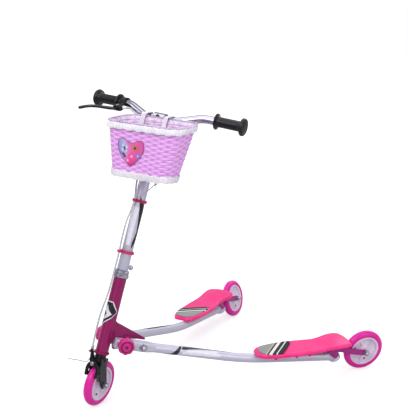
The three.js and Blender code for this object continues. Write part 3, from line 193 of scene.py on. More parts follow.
PHOTO_HEIGHT = 420
FOCAL_LENGTH = 786.8
SENSOR = 36
CAMERA_AT = (1.68639, -1.38834, 0.99884)
CAMERA_BACK = (0.7529, -0.6176, 0.2273)
LAMPS = [
    # name, place, target, size in metres and watts
    ("key", (1.2, -2.3, 2.5), (0, 0, 0.4), (2.4, 1.8), 48),
    ("side", (2.8, 0.6, 1.5), (0, 0, 0.35), (1.6, 2.2), 24),
    ("fill", (-2.4, -1.2, 1.6), (0, 0, 0.4), (2.0, 1.6), 16),
    ("back", (-0.6, 2.6, 2.2), (0, 0, 0.4), (2.2, 1.4), 18),
    ("top", (0, 0, 3.0), (0, 0, 0), (2.6, 2.6), 30),
]
SKY_COLOUR = (0.93, 0.95, 1.0, 1)
SKY_LIGHT = 0.43
CARD_SCALE = 2.4
PURE_WHITE = (1, 1, 1, 1)
GROUND_COLOUR = (0.61, 0.61, 0.615, 1)
GROUND_SIZE = 40


def set_camera():
    data = bpy.data.cameras.new("camera")
    camera = bpy.data.objects.new("camera", data)
    show(camera)
    back = Vector(CAMERA_BACK).normalized()
    right = UP.cross(back).normalized()
    turn = Matrix((right, back.cross(right), back)).transposed().to_4x4()
    turn.translation = CAMERA_AT
    camera.matrix_world = turn
    data.sensor_width = SENSOR
    data.lens = FOCAL_LENGTH / PHOTO_HEIGHT * SENSOR
    bpy.context.scene.camera = camera


def set_studio():
    set_world()
    for name, where, target, size, watts in LAMPS:
        data = bpy.data.lights.new(name, "AREA")
        data.shape = "RECTANGLE"
        data.size, data.size_y = size
        data.energy = watts
        light = bpy.data.objects.new(name, data)
        show(light)
        light.location = where
        light.rotation_euler = (Vector(target) - Vector(where)).to_track_quat("-Z", "Y").to_euler()
    bpy.context.scene.view_settings.view_transform = "Standard"


def set_world():
    """White to the camera and dimmer as light. What shines mirrors soft white cards in the dim."""
    world = bpy.data.worlds.new("studio")
    bpy.context.scene.world = world
    world.use_nodes = True
    tree = world.node_tree
    tree.nodes.clear()
    path = add(tree, "LightPath")
    coords = add(tree, "TexCoord")
    cards = add(tree, "TexNoise", {"Scale": CARD_SCALE, "Detail": 0, "Vector": coords.outputs["Generated"]})
    share = spread(tree, cards.outputs["Fac"], 0.42, 0.6, 0.04, 0.9, interpolation_type="SMOOTHSTEP")
    glossy = maths(tree, "MULTIPLY", path.outputs["Is Glossy Ray"], share)
    seen = maths(tree, "MAXIMUM", path.outputs["Is Camera Ray"], glossy)
    seen = maths(tree, "MAXIMUM", seen, path.outputs["Is Transmission Ray"])
    dim = add(tree, "Background", {"Color": SKY_COLOUR, "Strength": SKY_LIGHT})
    white = add(tree, "Background", {"Color": PURE_WHITE, "Strength": 1})
    mix = add(tree, "MixShader", {"Fac": seen, 1: dim.outputs[0], 2: white.outputs[0]})
    add(tree, "OutputWorld", {"Surface": mix.outputs[0]})


def set_floor():
    """A pale floor that takes shadows and fades to pure white away from the scooter."""
    deselect()
    bpy.ops.mesh.primitive_grid_add(x_subdivisions=4, y_subdivisions=4, size=GROUND_SIZE, location=(0, 0, 0))
    floor = named("studio_floor")
    mat = bpy.data.materials.new("studio_floor")
    mat.use_nodes = True
    tree = mat.node_tree
    coords = add(tree, "TexCoord")
    reach = add(tree, "VectorMath", {0: coords.outputs["Object"]}, operation="LENGTH")
    wider = spread(tree, reach.outputs["Value"], 0.6, 2.4, 0.55, 1)
    path = add(tree, "LightPath")
    feed(tree, tree.nodes["Principled BSDF"], {
        "Base Color": GROUND_COLOUR, "Roughness": 0.85, "Specular IOR Level": 0.1,
        "Emission Color": PURE_WHITE,
        "Emission Strength": maths(tree, "MULTIPLY", path.outputs["Is Camera Ray"], wider)})
    floor.data.materials.append(mat)


# Shaping

def lerp(a, b, share):
    return a + (b - a) * share


def show(obj):
    bpy.context.scene.collection.objects.link(obj)
    return obj


def deselect():
    bpy.ops.object.select_all(action="DESELECT")


def named(name):
    obj = bpy.context.object
    obj.name = name
    obj.data.name = name
    return obj


def choose(obj):
    deselect()
    obj.select_set(True)
    bpy.context.view_layer.objects.active = obj


def edit_all():
    bpy.ops.object.mode_set(mode="EDIT")
    bpy.ops.mesh.select_all(action="SELECT")


def end_edit():
    bpy.ops.object.mode_set(mode="OBJECT")


def tidy_mesh(obj, caps=False, gap=1e-4):
    choose(obj)
    edit_all()
    bpy.ops.mesh.remove_doubles(threshold=gap)
    bpy.ops.mesh.dissolve_degenerate(threshold=gap)
    if caps:
        bpy.ops.mesh.select_all(action="SELECT")
        bpy.ops.mesh.fill_holes(sides=0)
    bpy.ops.mesh.select_all(action="SELECT")
    bpy.ops.mesh.normals_make_consistent(inside=False)
    end_edit()
    return obj


def turned(name, profile, segments, turn=None):
    """Spins pairs of place along x and radius. The pairs start and end on the axis, or close."""
    deselect()
    bpy.ops.mesh.primitive_plane_add(size=1)
    obj = named(name)
    edit_all()
    bpy.ops.mesh.merge(type="CENTER")
    bpy.ops.transform.translate(value=(profile[0][0], 0, profile[0][1]))
    for before, after in zip(profile, profile[1:]):
        step = (after[0] - before[0], 0, after[1] - before[1])
        bpy.ops.mesh.extrude_vertices_move(TRANSFORM_OT_translate={"value": step})
    bpy.ops.mesh.select_all(action="SELECT")
    bpy.ops.mesh.spin(steps=segments, angle=tau, center=(0, 0, 0), axis=(1, 0, 0))
    end_edit()
    tidy_mesh(obj)
    if turn is not None:
        obj.data.transform(turn)
    return obj


def closed(profile):
    return profile + profile[:1]


def skin(name, rings, wrap=True, caps=False, uv=None, loop=False):
    """A grid bent through rings of points. Loop joins the last ring to the first."""
    rows = closed(rings) if loop else rings
    count = len(rows[0])
    across = count if wrap else count - 1
    up = len(rows) - 1
    deselect()
    bpy.ops.mesh.primitive_grid_add(x_subdivisions=across, y_subdivisions=up, size=1)
    obj = named(name)
    mesh = obj.data
    places = [(round((v.co.x + 0.5) * across), round((v.co.y + 0.5) * up)) for v in mesh.vertices]
    for vertex, (column, row) in zip(mesh.vertices, places):
        vertex.co = rows[row][column % count]
    if uv is not None:
        layer = mesh.uv_layers[0].data
        for corner in mesh.loops:
            column, row = places[corner.vertex_index]
            layer[corner.index].uv = uv(column, row)
    return tidy_mesh(obj, caps)


def pipe(name, points, radius, sides, cyclic=False):
    """A round tube along points, its section 4 * sides + 4 sided."""
    curve = bpy.data.curves.new(name, "CURVE")
    curve.dimensions = "3D"
    spline = curve.splines.new("POLY")
    spline.points.add(len(points) - 1)
    for target, point in zip(spline.points, points):
        target.co = (point[0], point[1], point[2], 1)
    spline.use_cyclic_u = cyclic
    curve.bevel_depth = radius
    curve.bevel_resolution = sides
    curve.use_fill_caps = not cyclic
    obj = bpy.data.objects.new(name, curve)
    show(obj)
    choose(obj)
    bpy.ops.object.convert(target="MESH")
    return tidy_mesh(named(name))


def block(name, low, high, edge):
    """A box between two corners with its edges rounded."""
    deselect()
    bpy.ops.mesh.primitive_cube_add(size=1)
    obj = named(name)
    edit_all()
    bpy.ops.transform.resize(value=[b - a for a, b in zip(low, high)])
    bpy.ops.transform.translate(value=[(a + b) / 2 for a, b in zip(low, high)])
    bpy.ops.mesh.bevel(offset=edge, segments=3, affect="EDGES")
    end_edit()
    return obj


def join(name, *objects):
    choose(objects[0])
    for other in objects[1:]:
        other.select_set(True)
    bpy.ops.object.join()
    return named(name)


def apply(obj, kind, **settings):
    modifier = obj.modifiers.new(kind, kind)
    for key, value in settings.items():
        setattr(modifier, key, value)
    choose(obj)
    bpy.ops.object.modifier_apply(modifier=modifier.name)
    return obj


def thickened(obj, thickness, offset=0):
    return tidy_mesh(apply(obj, "SOLIDIFY", thickness=thickness, offset=offset), gap=1e-3)


def moved(obj, x, y, z):
    obj.data.transform(Matrix.Translation((x, y, z)))
    return obj


def mirror(obj):
    obj.data.transform(MIRROR)
    obj.data.flip_normals()
    return obj


def fit(obj, body, slot, mat, angle):
    """Gives a placed piece its finish and its part. Piece x_look stands in for the CAD node x."""
    obj.data.materials.append(mat)
    choose(obj)
    bpy.ops.object.shade_smooth_by_angle(angle=radians(angle))
    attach(obj, body)
    node = obj.name.removesuffix("_look")
    if node != obj.name and node in frame["nodes"]:
        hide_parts(node)


def put(obj, where, body, slot, mat, angle=40):
    """Takes a piece from millimetres in a part's frame to its place, and fits it."""
    obj.data.transform(where @ Matrix.Scale(MM, 4))
    fit(obj, body, slot, mat, angle)


def steered(obj, slot, mat, angle=40):
    put(obj, STEERED, "steering", slot, mat, angle)


def both_sides(name, build, where, body, slot, mat, angle=40):
    """One piece on the left and its mirrored copy on the right."""
    left = build(name + "_left_look")
    left.data.transform(where @ Matrix.Scale(MM, 4))
    right = left.copy()
    right.data = left.data.copy()
    right.name = name + "_right_look"
    right.data.name = right.name
    show(right)
    fit(left, body + "_left", slot, mat, angle)
    fit(mirror(right), body + "_right", slot, mat, angle)


def smooth_between(points, steps):
    """Points on one smooth curve through the given ones."""
    points = [Vector(p) for p in points]
    last = len(points) - 1
    out = []
    for i in range(last):
        a, b, c, d = (points[min(max(i + j, 0), last)] for j in (-1, 0, 1, 2))
        run = c - b
        reach = run.length
        before = (b - a).length or reach
        after = (d - c).length or reach
        start = (run / reach + (b - a) / before) * reach * 0.5 if i else run * 0.8
        end = (run / reach + (d - c) / after) * reach * 0.5 if i < last - 1 else run * 0.8
        for j in range(steps):
            t = j / steps
            out.append(b * (2 * t ** 3 - 3 * t ** 2 + 1) + start * (t ** 3 - 2 * t ** 2 + t)
                       + c * (3 * t ** 2 - 2 * t ** 3) + end * (t ** 3 - t ** 2))
    out.append(points[-1])
    return out


def bent(corners, reach):
    """Straight runs joined by bends that start the given reach before each corner."""
    corners = [Vector(p) for p in corners]
    steps = 14
    out = [corners[0]]
    for a, b, c in zip(corners, corners[1:], corners[2:]):
        before = b + (a - b).normalized() * reach
        after = b + (c - b).normalized() * reach
        for i in range(steps + 1):
            t = i / steps
            out.append(before * (1 - t) ** 2 + b * 2 * t * (1 - t) + after * t ** 2)
    out.append(corners[-1])
    return out


def arc(centre, radius, start, end, steps):
    """Profile points round a centre, angles in degrees from along x towards outwards."""
    angles = [radians(lerp(start, end, i / steps)) for i in range(steps + 1)]
    return [(centre[0] + radius * cos(a), centre[1] + radius * sin(a)) for a in angles]


# Finishes

def rgb(red, green, blue):
    def channel(value):
        value /= 255
        return value / 12.92 if value <= 0.04045 else ((value + 0.055) / 1.055) ** 2.4
    return (channel(red), channel(green), channel(blue), 1)


def shade(colour, factor):
    return tuple(min(1, c * factor) for c in colour[:3]) + (1,)


def new_material(name, roughness, metallic=0, coat=0):
    mat = bpy.data.materials.new(name)
    mat.use_nodes = True
    tree = mat.node_tree
    shader = tree.nodes["Principled BSDF"]
    feed(tree, shader, {"Roughness": roughness, "Metallic": metallic, "Coat Weight": coat,
                        "Coat Roughness": 0.08, "Specular IOR Level": 0.3})
    return mat, tree, shader


def noise(tree, scale, detail, stretch=(1, 1, 1)):
    coords = add(tree, "TexCoord")
    mapping = add(tree, "Mapping", {"Vector": coords.outputs["Object"], "Scale": stretch})
    return add(tree, "TexNoise", {"Scale": scale, "Detail": detail, "Vector": mapping.outputs["Vector"]})


def uv_axes(tree):
    """The two axes of a piece's own layout."""
    uv = add(tree, "UVMap", uv_map="UVMap")
    split = add(tree, "SeparateXYZ", {"Vector": uv.outputs["UV"]})
    return split.outputs["X"], split.outputs["Y"]


def ramp(tree, source, *stops, steps="LINEAR"):
    node = add(tree, "ValToRGB", {"Fac": source})
    node.color_ramp.interpolation = steps
    elements = node.color_ramp.elements
    while len(elements) < len(stops):
        elements.new(0.5)
    for element, (position, colour) in zip(elements, stops):
        element.position = position
        element.color = colour
    return node.outputs["Color"]


def finish(tree, shader, tone, gloss, height, strength, distance=0.0002):
    """Links a tone, a bump and, where gloss is given as a texture, low and high, a roughness."""
    bump = add(tree, "Bump", {"Strength": strength, "Distance": distance, "Height": height})
    feed(tree, shader, {"Base Color": tone, "Normal": bump.outputs["Normal"]})
    if gloss:
        texture, low, high = gloss
        feed(tree, shader, {"Roughness": spread(tree, texture.outputs["Fac"], 0, 1, low, high)})


def plain(name, colour, roughness, metallic, coat, vary, patches=90, bumps=1400, strength=0.12):
    """One colour with soft patches in its tone and gloss, and a fine grain."""
    mat, tree, shader = new_material(name, roughness, metallic, coat)
    clouds = noise(tree, patches, 4)
    tone = ramp(tree, clouds.outputs["Fac"], (0.3, shade(colour, 1 - vary)), (0.7, shade(colour, 1 + vary)))
    finish(tree, shader, tone, (clouds, max(0.03, roughness - 0.06), roughness + 0.07),
           noise(tree, bumps, 2).outputs["Fac"], strength)
    return mat


def flaked(name, colour, glint, roughness, metallic, coat):
    """Metallic paint: tiny bright flakes under a clear coat."""
    mat, tree, shader = new_material(name, roughness, metallic, coat)
    coords = add(tree, "TexCoord")
    flakes = add(tree, "TexVoronoi", {"Scale": 2600, "Vector": coords.outputs["Object"]})
    split = add(tree, "SeparateColor", {"Color": flakes.outputs["Color"]})
    tone = ramp(tree, split.outputs["Red"], (0.0, shade(colour, 0.95)), (0.72, colour), (1.0, glint))
    clouds = noise(tree, 60, 3)
    orange_peel = noise(tree, 420, 1)
    finish(tree, shader, tone, (clouds, roughness - 0.05, roughness + 0.06),
           orange_peel.outputs["Fac"], 0.01, 0.0001)
    return mat


def moulded(name, colour, deep, roughness, sunk, radius, coat=0.0):
    """Moulded plastic or cast rubber that light sinks into a little."""
    mat, tree, shader = new_material(name, roughness, 0, coat)
    clouds = noise(tree, 28, 3)
    tone = ramp(tree, clouds.outputs["Fac"], (0.3, deep), (0.62, colour))
    feed(tree, shader, {"Subsurface Weight": sunk, "Subsurface Radius": (1.0, 0.45, 0.6),
                        "Subsurface Scale": radius})
    finish(tree, shader, tone, (clouds, roughness - 0.05, roughness + 0.08),
           noise(tree, 1100, 2).outputs["Fac"], 0.1)
    return mat


def weave_material():
    """Plastic cane with painted shade where a strand dips behind a stake and a little painted light where it
    swells out, over a random tone, with fine streaks along it.
    """
    mat, tree, shader = new_material("basket_cane_painted_shade", 0.42)
    section, along = uv_axes(tree)
    wave = maths(tree, "COSINE", maths(tree, "MULTIPLY", along, tau))
    clouds = noise(tree, 160, 4, (1, 1, 3))
    # Low where the strand dips behind a stake and high where it swells out, plus a random tone: the ramps
    # below turn it into painted shade and painted light
    height = maths(tree, "MULTIPLY_ADD", clouds.outputs["Fac"], 0.22, spread(tree, wave, -1, 1))
    # Painted shade in the dips and a little painted light on the crests, on the outer face and, paler, on
    # the inner face
    outside = ramp(tree, height, (0.06, rgb(212, 142, 224)), (0.26, rgb(232, 164, 240)),
                   (0.6, rgb(239, 176, 245)), (1.0, rgb(243, 188, 248)))
    inside = ramp(tree, height, (0.06, rgb(214, 186, 222)), (0.5, rgb(230, 208, 234)),
                  (1.0, rgb(238, 222, 240)))
    feed(tree, shader, {"Subsurface Weight": 0.15, "Subsurface Scale": 0.002})
    finish(tree, shader, mixed(tree, maths(tree, "GREATER_THAN", section, 0.66), outside, inside), None,
           noise(tree, 900, 2, (1, 1, 6)).outputs["Fac"], 0.25, 0.0003)
    return mat


def pad_material():
    """Grip tape in grey, then slanted bands of pale green, black and white near its back."""
    mat, tree, shader = new_material("grip_tape", 0.75)
    bands = ramp(tree, uv_axes(tree)[1], (0.0, rgb(158, 158, 160)), (0.47, rgb(186, 192, 158)),
                 (0.52, rgb(44, 42, 46)), (0.58, rgb(238, 240, 238)), (0.68, rgb(44, 42, 46)),
                 (0.8, rgb(226, 228, 226)), (0.84, rgb(40, 38, 42)), steps="CONSTANT")
    grit = noise(tree, 2400, 2)
    finish(tree, shader, mixed(tree, 0.25, bands, grit.outputs["Color"], "MULTIPLY"), None,
           grit.outputs["Fac"], 0.5, 0.0004)
    return mat


def heart_material():
    """A soft print: pale blue at the left, pink across and magenta at the foot."""
    mat, tree, shader = new_material("heart_print", 0.3, 0, 0.3)
    across, up = uv_axes(tree)
    clouds = noise(tree, 60, 3).outputs["Fac"]
    side = ramp(tree, maths(tree, "MULTIPLY_ADD", clouds, 0.5, across), (0.3, rgb(150, 110, 190)),
                (0.48, rgb(176, 190, 232)), (0.66, rgb(232, 120, 190)), (1.0, rgb(222, 92, 164)))
    finish(tree, shader, mixed(tree, spread(tree, up, 0.42, 0.12), side, rgb(226, 48, 140)), None,
           clouds, 0.05)
    return mat


MAGENTA = flaked("magenta_paint", rgb(140, 0, 86), rgb(158, 16, 102), 0.3, 0.1, 0.3)
CASTER_PAINT = flaked("caster_paint", rgb(164, 24, 130), rgb(180, 44, 146), 0.32, 0.15, 0.35)
SILVER = flaked("silver_paint", rgb(196, 194, 212), rgb(202, 200, 217), 0.38, 0.3, 0.15)
CHROME = plain("chrome", rgb(174, 171, 185), 0.11, 1, 0, 0.03, 40, 300, 0.01)
ZINC = plain("zinc_steel", rgb(168, 168, 174), 0.28, 1, 0, 0.14, 300, 2200, 0.2)
DARK_STEEL = plain("dark_steel", rgb(70, 66, 74), 0.34, 0.8, 0, 0.18, 300, 2200, 0.2)
BLACK_PAINT = plain("black_paint", rgb(13, 12, 16), 0.18, 0, 0.15, 0.12, 70, 500, 0.02)
BLACK_PLASTIC = plain("black_plastic", rgb(20, 19, 25), 0.34, 0, 0, 0.16, 120, 1800, 0.25)
RUBBER = plain("grip_rubber", rgb(16, 16, 22), 0.32, 0, 0.1, 0.18, 160, 2400, 0.35)
PINK = moulded("pink_plastic", rgb(246, 50, 138), rgb(238, 36, 124), 0.34, 0.08, 0.003, 0.15)
KNOB = moulded("knob_plastic", rgb(212, 34, 138), rgb(190, 24, 120), 0.28, 0.1, 0.003, 0.3)
# Dark magenta as painted shade, for the ring in the knob's groove and the cap in its boss
KNOB_RECESS_SHADE = moulded("knob_recess_painted_shade", rgb(122, 14, 78), rgb(96, 8, 60), 0.3, 0.05, 0.002, 0.2)
CLIP = moulded("clip_plastic", rgb(196, 50, 104), rgb(168, 34, 84), 0.34, 0.1, 0.002)
TYRE = moulded("cast_tyre", rgb(226, 30, 160), rgb(208, 20, 146), 0.3, 0.12, 0.006, 0.1)
HUB = moulded("hub_plastic", rgb(228, 212, 231), rgb(214, 196, 218), 0.36, 0.15, 0.003)
WHITE = moulded("white_plastic", rgb(240, 236, 242), rgb(222, 216, 227), 0.34, 0.2, 0.003)
BRAID = moulded("braid_plastic", rgb(222, 206, 230), rgb(176, 156, 190), 0.45, 0.1, 0.002)
CANE = weave_material()
CANE_INSIDE = moulded("cane_inside", rgb(226, 190, 232), rgb(204, 160, 214), 0.5, 0.15, 0.002)
PAD = pad_material()
HEART = heart_material()
SHEATH = plain("cable_sheath", rgb(190, 190, 196), 0.35, 0.2, 0, 0.1, 400, 2000, 0.15)
STICKER_BLACK = plain("sticker_black", rgb(26, 25, 29), 0.22, 0, 0.2, 0.1, 100, 900, 0.03)
STICKER_PALE = plain("sticker_pale", rgb(226, 222, 234), 0.25, 0, 0.5, 0.05, 100, 900, 0.03)
STRING = plain("white_string", rgb(190, 188, 197), 0.7, 0, 0, 0.1, 500, 3000, 0.6)
PRINTS = {name: plain("print_" + name, rgb(*colour), 0.3, 0, 0.3, 0.06) for name, colour in (
    ("pink", (244, 84, 168)), ("rose", (250, 170, 210)), ("blue", (120, 150, 214)),
    ("sky", (186, 216, 240)), ("amber", (206, 128, 74)), ("brown", (112, 60, 44)),
    ("plum", (120, 62, 124)))}

# The CAD nodes that stay, with their finishes and how far their edges are rounded in millimetres
KEPT = [
    ("frame_weldment", MAGENTA, 0.9), ("headset_lower_bearing", ZINC, 0.2),
    ("headset_upper_bearing", ZINC, 0.2), ("fork", BLACK_PAINT, 0.7), ("cable_clip_lower", CLIP, 0.5),
    ("cable_clip_upper", CLIP, 0.5), ("handlebar_clamp", CHROME, 0.6), ("clamp_bolt", BLACK_PAINT, 0.4),
    ("brake_lever_bracket", BLACK_PLASTIC, 0.9), ("brake_lever", BLACK_PAINT, 0.8),
    ("lever_pivot_pin", ZINC, 0.3), ("barrel_adjuster", WHITE, 0.4), ("brake_inner_wire", DARK_STEEL, 0.05),
]
KEPT_IN_PAIRS = [
    ("pivot_bolt", DARK_STEEL, 0.3), ("caliper_arm", BLACK_PAINT, 0.6), ("brake_shoe", RUBBER, 0.7),
    ("basket_strap", WHITE, 0.3), ("hinge_end", SILVER, 0.9), ("caster_fork", CASTER_PAINT, 0.7),
    ("caster_kingpin", ZINC, 0.5),
]
FLAT_WITHIN = radians(2)
SHARP_BEYOND = radians(35)


def dress_kept():
    """Smooth shading and rounded edges for the CAD nodes that stay."""
    pairs = [(name + side, mat, edge) for name, mat, edge in KEPT_IN_PAIRS for side in ("_left", "_right")]
    for name, mat, edge in KEPT + pairs:
        obj = frame["nodes"][name]
        obj.data.materials.clear()
        obj.data.materials.append(mat)
        obj.data.polygons.foreach_set("use_smooth", [True] * len(obj.data.polygons))
        weld = obj.modifiers.new("weld", "WELD")
        weld.merge_threshold = 0.01 * MM
        flat = obj.modifiers.new("flat", "DECIMATE")
        flat.decimate_type = "DISSOLVE"
        flat.angle_limit = FLAT_WITHIN
        rounded = obj.modifiers.new("rounded", "BEVEL")
        rounded.limit_method = "ANGLE"
        rounded.angle_limit = SHARP_BEYOND
        rounded.width = edge * MM
        rounded.segments = 2
        even = obj.modifiers.new("even", "WEIGHTED_NORMAL")
        even.keep_sharp = False


# Wheels

def from_x(start, profile):
    """The same profile, started further along x."""
    return [(start + x, radius) for x, radius in profile]


def tyre(name):
    tread = arc((0, TREAD_AT), TREAD_RADIUS, 180, 0, 26)
    return turned(name, closed([(-11, 47)] + tread + [(11, 47), (4, 46.8), (-4, 46.8)]), 112)


def hub(name):
    """A dished hub with radial ribs on both its faces."""
    half = [(11.5, 4.6), (11.5, 12.6), (10.9, 13.8), (5, 14.6), (3.6, 16.5), (3.5, 38), (4.4, 39.6),
            (9.6, 40.2), (10.5, 41.2), (10.5, 45.6), (9.8, 46.5)]
    parts = [turned(name, closed(half + [(-x, r) for x, r in reversed(half)]), 96)]
    for i in range(SPOKES):
        for start, end in ((3.2, 5.4), (-5.4, -3.2)):
            rib = block("rib", (start, -3, 13.5), (end, 3, 40.6), 1.3)
            rib.data.transform(Matrix.Rotation(tau * i / SPOKES, 4, "X"))
            parts.append(rib)
    return join(name, *parts)


def hub_screws(name):
    """Three small screws on each side of the hub."""
    profile = [(3.4, 0), (3.4, 3.0), (4.6, 2.9), (5.3, 2.2), (5.3, 1.1), (4.5, 0.9), (4.5, 0)]
    parts = []
    for side in (1, -1):
        for i in range(3):
            head = moved(turned("screw", profile, 20), 0, 0, -31)
            head.data.transform(Matrix.Rotation(tau * (i - 0.1) / 3, 4, "X"))
            parts.append(head if side > 0 else mirror(head))
    return join(name, *parts)


def wheel_bolt(name, half):
    """The axle with a washer and a domed hexagon nut at each end."""
    parts = [turned("rod", [(-half - 5, 0), (-half - 5, 4), (half + 5, 4), (half + 5, 0)], 32)]
    for side in (1, -1):
        washer = turned("washer", from_x(half, closed([(0, 3.6), (0, 8.6), (0.9, 8.6), (0.9, 3.6)])), 48)
        nut = turned("nut", from_x(half, closed([(0.9, 3.4), (0.9, 7.2), (1.3, 7.6), (5.6, 7.6),
                                                 (6.2, 6.8), (6.2, 3.4)])), 6)
        tip = turned("tip", from_x(half, [(5.6, 0), (5.6, 6.2)] + arc((6.4, 0), 6.2, 88, 4, 8)
                                   + [(12.6, 0)]), 32)
        parts += [obj if side > 0 else mirror(obj) for obj in (washer, nut, tip)]
    return join(name, *parts)


def make_wheels():
    put(tyre("front_tyre_look"), FRONT_WHEEL, "front_wheel", "tyre", TYRE)
    put(hub("front_hub_look"), FRONT_WHEEL, "front_wheel", "hub_plastic", HUB)
    put(hub_screws("front_hub_screws"), FRONT_WHEEL, "front_wheel", "steel", DARK_STEEL)
    put(wheel_bolt("front_axle_look", FRONT_AXLE_HALF), FRONT_WHEEL, "steering", "steel", ZINC, angle=30)
    both_sides("rear_tyre", tyre, REAR_WHEEL, "rear_wheel", "tyre", TYRE)
    both_sides("rear_hub", hub, REAR_WHEEL, "rear_wheel", "hub_plastic", HUB)
    both_sides("rear_hub_screws", hub_screws, REAR_WHEEL, "rear_wheel", "steel", DARK_STEEL)
    both_sides("rear_axle", lambda name: wheel_bolt(name, REAR_AXLE_HALF), REAR_WHEEL, "caster", "steel",
               ZINC, angle=30)


# Head tube and headset

def make_head():
    shell = closed([(165, 14.6), (164.2, 15.4), (164.2, 16.6), (164.8, 17.2), (366.2, 17.2), (366.8, 16.6),
                    (366.8, 15.4), (366, 14.6)])
    lower = closed([(163.6, 14.2), (163.6, 20), (162.8, 21), (160.6, 21), (158.4, 20), (156.8, 18.2),
                    (156, 16.4), (156, 14.2), (161, 13.1), (174, 13.1), (174, 14.2)])
    upper = closed([(367.3, 14.2), (367.3, 18.8), (368.4, 20.4), (370, 21), (374.2, 21), (375, 20.2),
                    (375, 14.2), (370, 14.2), (370, 13.1), (357, 13.1), (357, 14.2)])
    nut = closed([(375.6, 13.1), (375.6, 19.2), (376.2, 19.6), (379, 19.6), (379.4, 18.8), (380, 18.8),
                  (380.4, 19.6), (386.4, 19.6), (387.2, 18.6), (387.2, 13.1)])
    for name, profile, where, body, slot, mat in (
            ("head_tube", shell, HEAD, "frame", "magenta_paint", MAGENTA),
            ("headset_lower_cup", lower, HEAD, "frame", "magenta_paint", MAGENTA),
            ("headset_upper_cup", upper, HEAD, "frame", "chrome", CHROME),
            ("headset_locknut", nut, STEERED, "steering", "chrome", CHROME)):
        put(turned(name + "_look", profile, 72, TO_ALONG_Z), where, body, slot, mat)


# Column, bar and grips

def make_column():
    """The column with the collar of its pull pin, and the pin with its ball."""
    tube = turned("column_tube", closed([(388.4, 13), (388.4, 14.6), (388.9, 15), (782.4, 15), (783, 14.5),
                                         (783, 13)]), 72, TO_ALONG_Z)
    collar = turned("column_collar", closed([(14, 3.5), (14, 7.6), (16, 7.2), (20.4, 7), (21, 6.4),
                                             (21, 3.5)]), 40, TO_ALONG_Y)
    steered(join("steering_column_look", tube, moved(collar, 0, 0, PIN_Z)), "silver_paint", SILVER)
    pin = turned("column_pull_pin_look", [(9, 0), (9, 2.6), (9.4, 3), (21.3, 3), (21.3, 4.2), (21.8, 4.5),
                                          (27, 4.4), (33.6, 3.7)] + arc((40, 0), 7, 145, 0, 18), 40,
                 TO_ALONG_Y)
    put(moved(pin, 0, 0, PIN_Z), STEERED, "column_pin", "chrome", CHROME)


def grip_point(out, side=1):
    """A place on the bar at the grip, measured outwards from the grip's inner end."""
    return Vector((side * (GRIP_X + out * cos(SWEEP)), GRIP_Y + out * sin(SWEEP), GRIP_Z))


def make_bar():
    half = [Vector((BAR_STRAIGHT, 0, BAR_Z)), grip_point(-BEND_INSIDE_GRIP), grip_point(GRIP_LENGTH)]
    path = bent([MIRROR @ point for point in reversed(half)] + half, BAR_BEND)
    steered(pipe("handlebar_look", path, BAR_RADIUS, 9), "chrome", CHROME)
    for side, name in ((1, "grip_left"), (-1, "grip_right")):
        grip = turned(name + "_look", grip_profile(), 72)
        grip.data.transform(Matrix.Translation(grip_point(0)) @ Matrix.Rotation(SWEEP, 4, "Z"))
        steered(grip if side > 0 else mirror(grip), "black_rubber", RUBBER, angle=50)


def grip_profile():
    """A soft grip with a flange at each end, fine rings along it and a domed end."""
    profile = [(0, 11.5), (0, 20.8), (0.8, 21.5), (3.2, 21.5), (4, 20.6), (5, 16.4), (7, 14.4), (9.5, 13.7)]
    for i in range(13):
        profile += from_x(12 + i * 3.9, [(0, 13.7), (0.5, 13.1), (1.1, 13.1), (1.6, 13.7)])
    profile += [(66, 13.7), (68.6, 14.6), (70.2, 16.6), (71.2, 21), (72.4, 22.6), (75, 23.5), (78.4, 23.4),
                (80.4, 22.2), (81.6, 20.2), (82.1, 17.6), (81.9, 16.8), (82.3, 16), (82.8, 12), (83, 0),
                (80.3, 0), (80.3, 11.5)]
    return closed(profile)


# Brake cable and caliper bolt

def lever_frame():
    """The brake lever's frame: x outwards along the grip and y down and forwards."""
    origin = grip_point(-LEVER_AT, -1)
    out = Vector((-cos(SWEEP), sin(SWEEP), 0))
    down = Vector((0, -LEVER_FORWARD, -sqrt(1 - LEVER_FORWARD ** 2)))
    down = (down - out * down.dot(out)).normalized()
    return frame_from(origin, out, out.cross(down))


def make_cable():
    """The sheath, from the caliper's stop up through both clips to the lever's adjuster."""
    lever = lever_frame()
    route = [(-14, -28, 168.3), (-14, -30, 182), (-13.5, -32.5, 216), (-11, -36, 262), (-7.5, -29, 330),
             (-6.5, -28.5, 395), (-6.5, -28.5, 430), (-6.5, -28.7, 441), (-6.5, -31, 468),
             (-6.5, -30, 516), (-4.5, -23.5, 555), (-3.5, -22.5, 572), (-3.5, -22.3, 582), (-8, -20, 600),
             (-16, -12, 622), (-21, -5, 655), (-21, -5, 720), (-21, -6, 756), (-25, -8, 777),
             (-33, -9, 785.5), (-44, -10, 790), (-58, -11, 796), (-74, -11, 802), (-88, -10, 808),
             lever @ Vector((-42.3, 28, 0)), lever @ Vector((-28.3, 28, 0))]
    sheath = pipe("brake_cable_look", smooth_between(route, 7), CABLE_RADIUS, 3)
    ferrule = turned("ferrule", [(0, 0), (0, 3.3), (0.6, 3.7), (9.4, 3.7), (10, 3.2), (10, 0)], 28,
                     TO_ALONG_Z)
    ferrule.data.transform(Matrix.Rotation(0.06, 4, "X"))
    steered(sheath, "cable_sheath", SHEATH)
    steered(moved(ferrule, -14, -28, 168.2), "steel", ZINC)


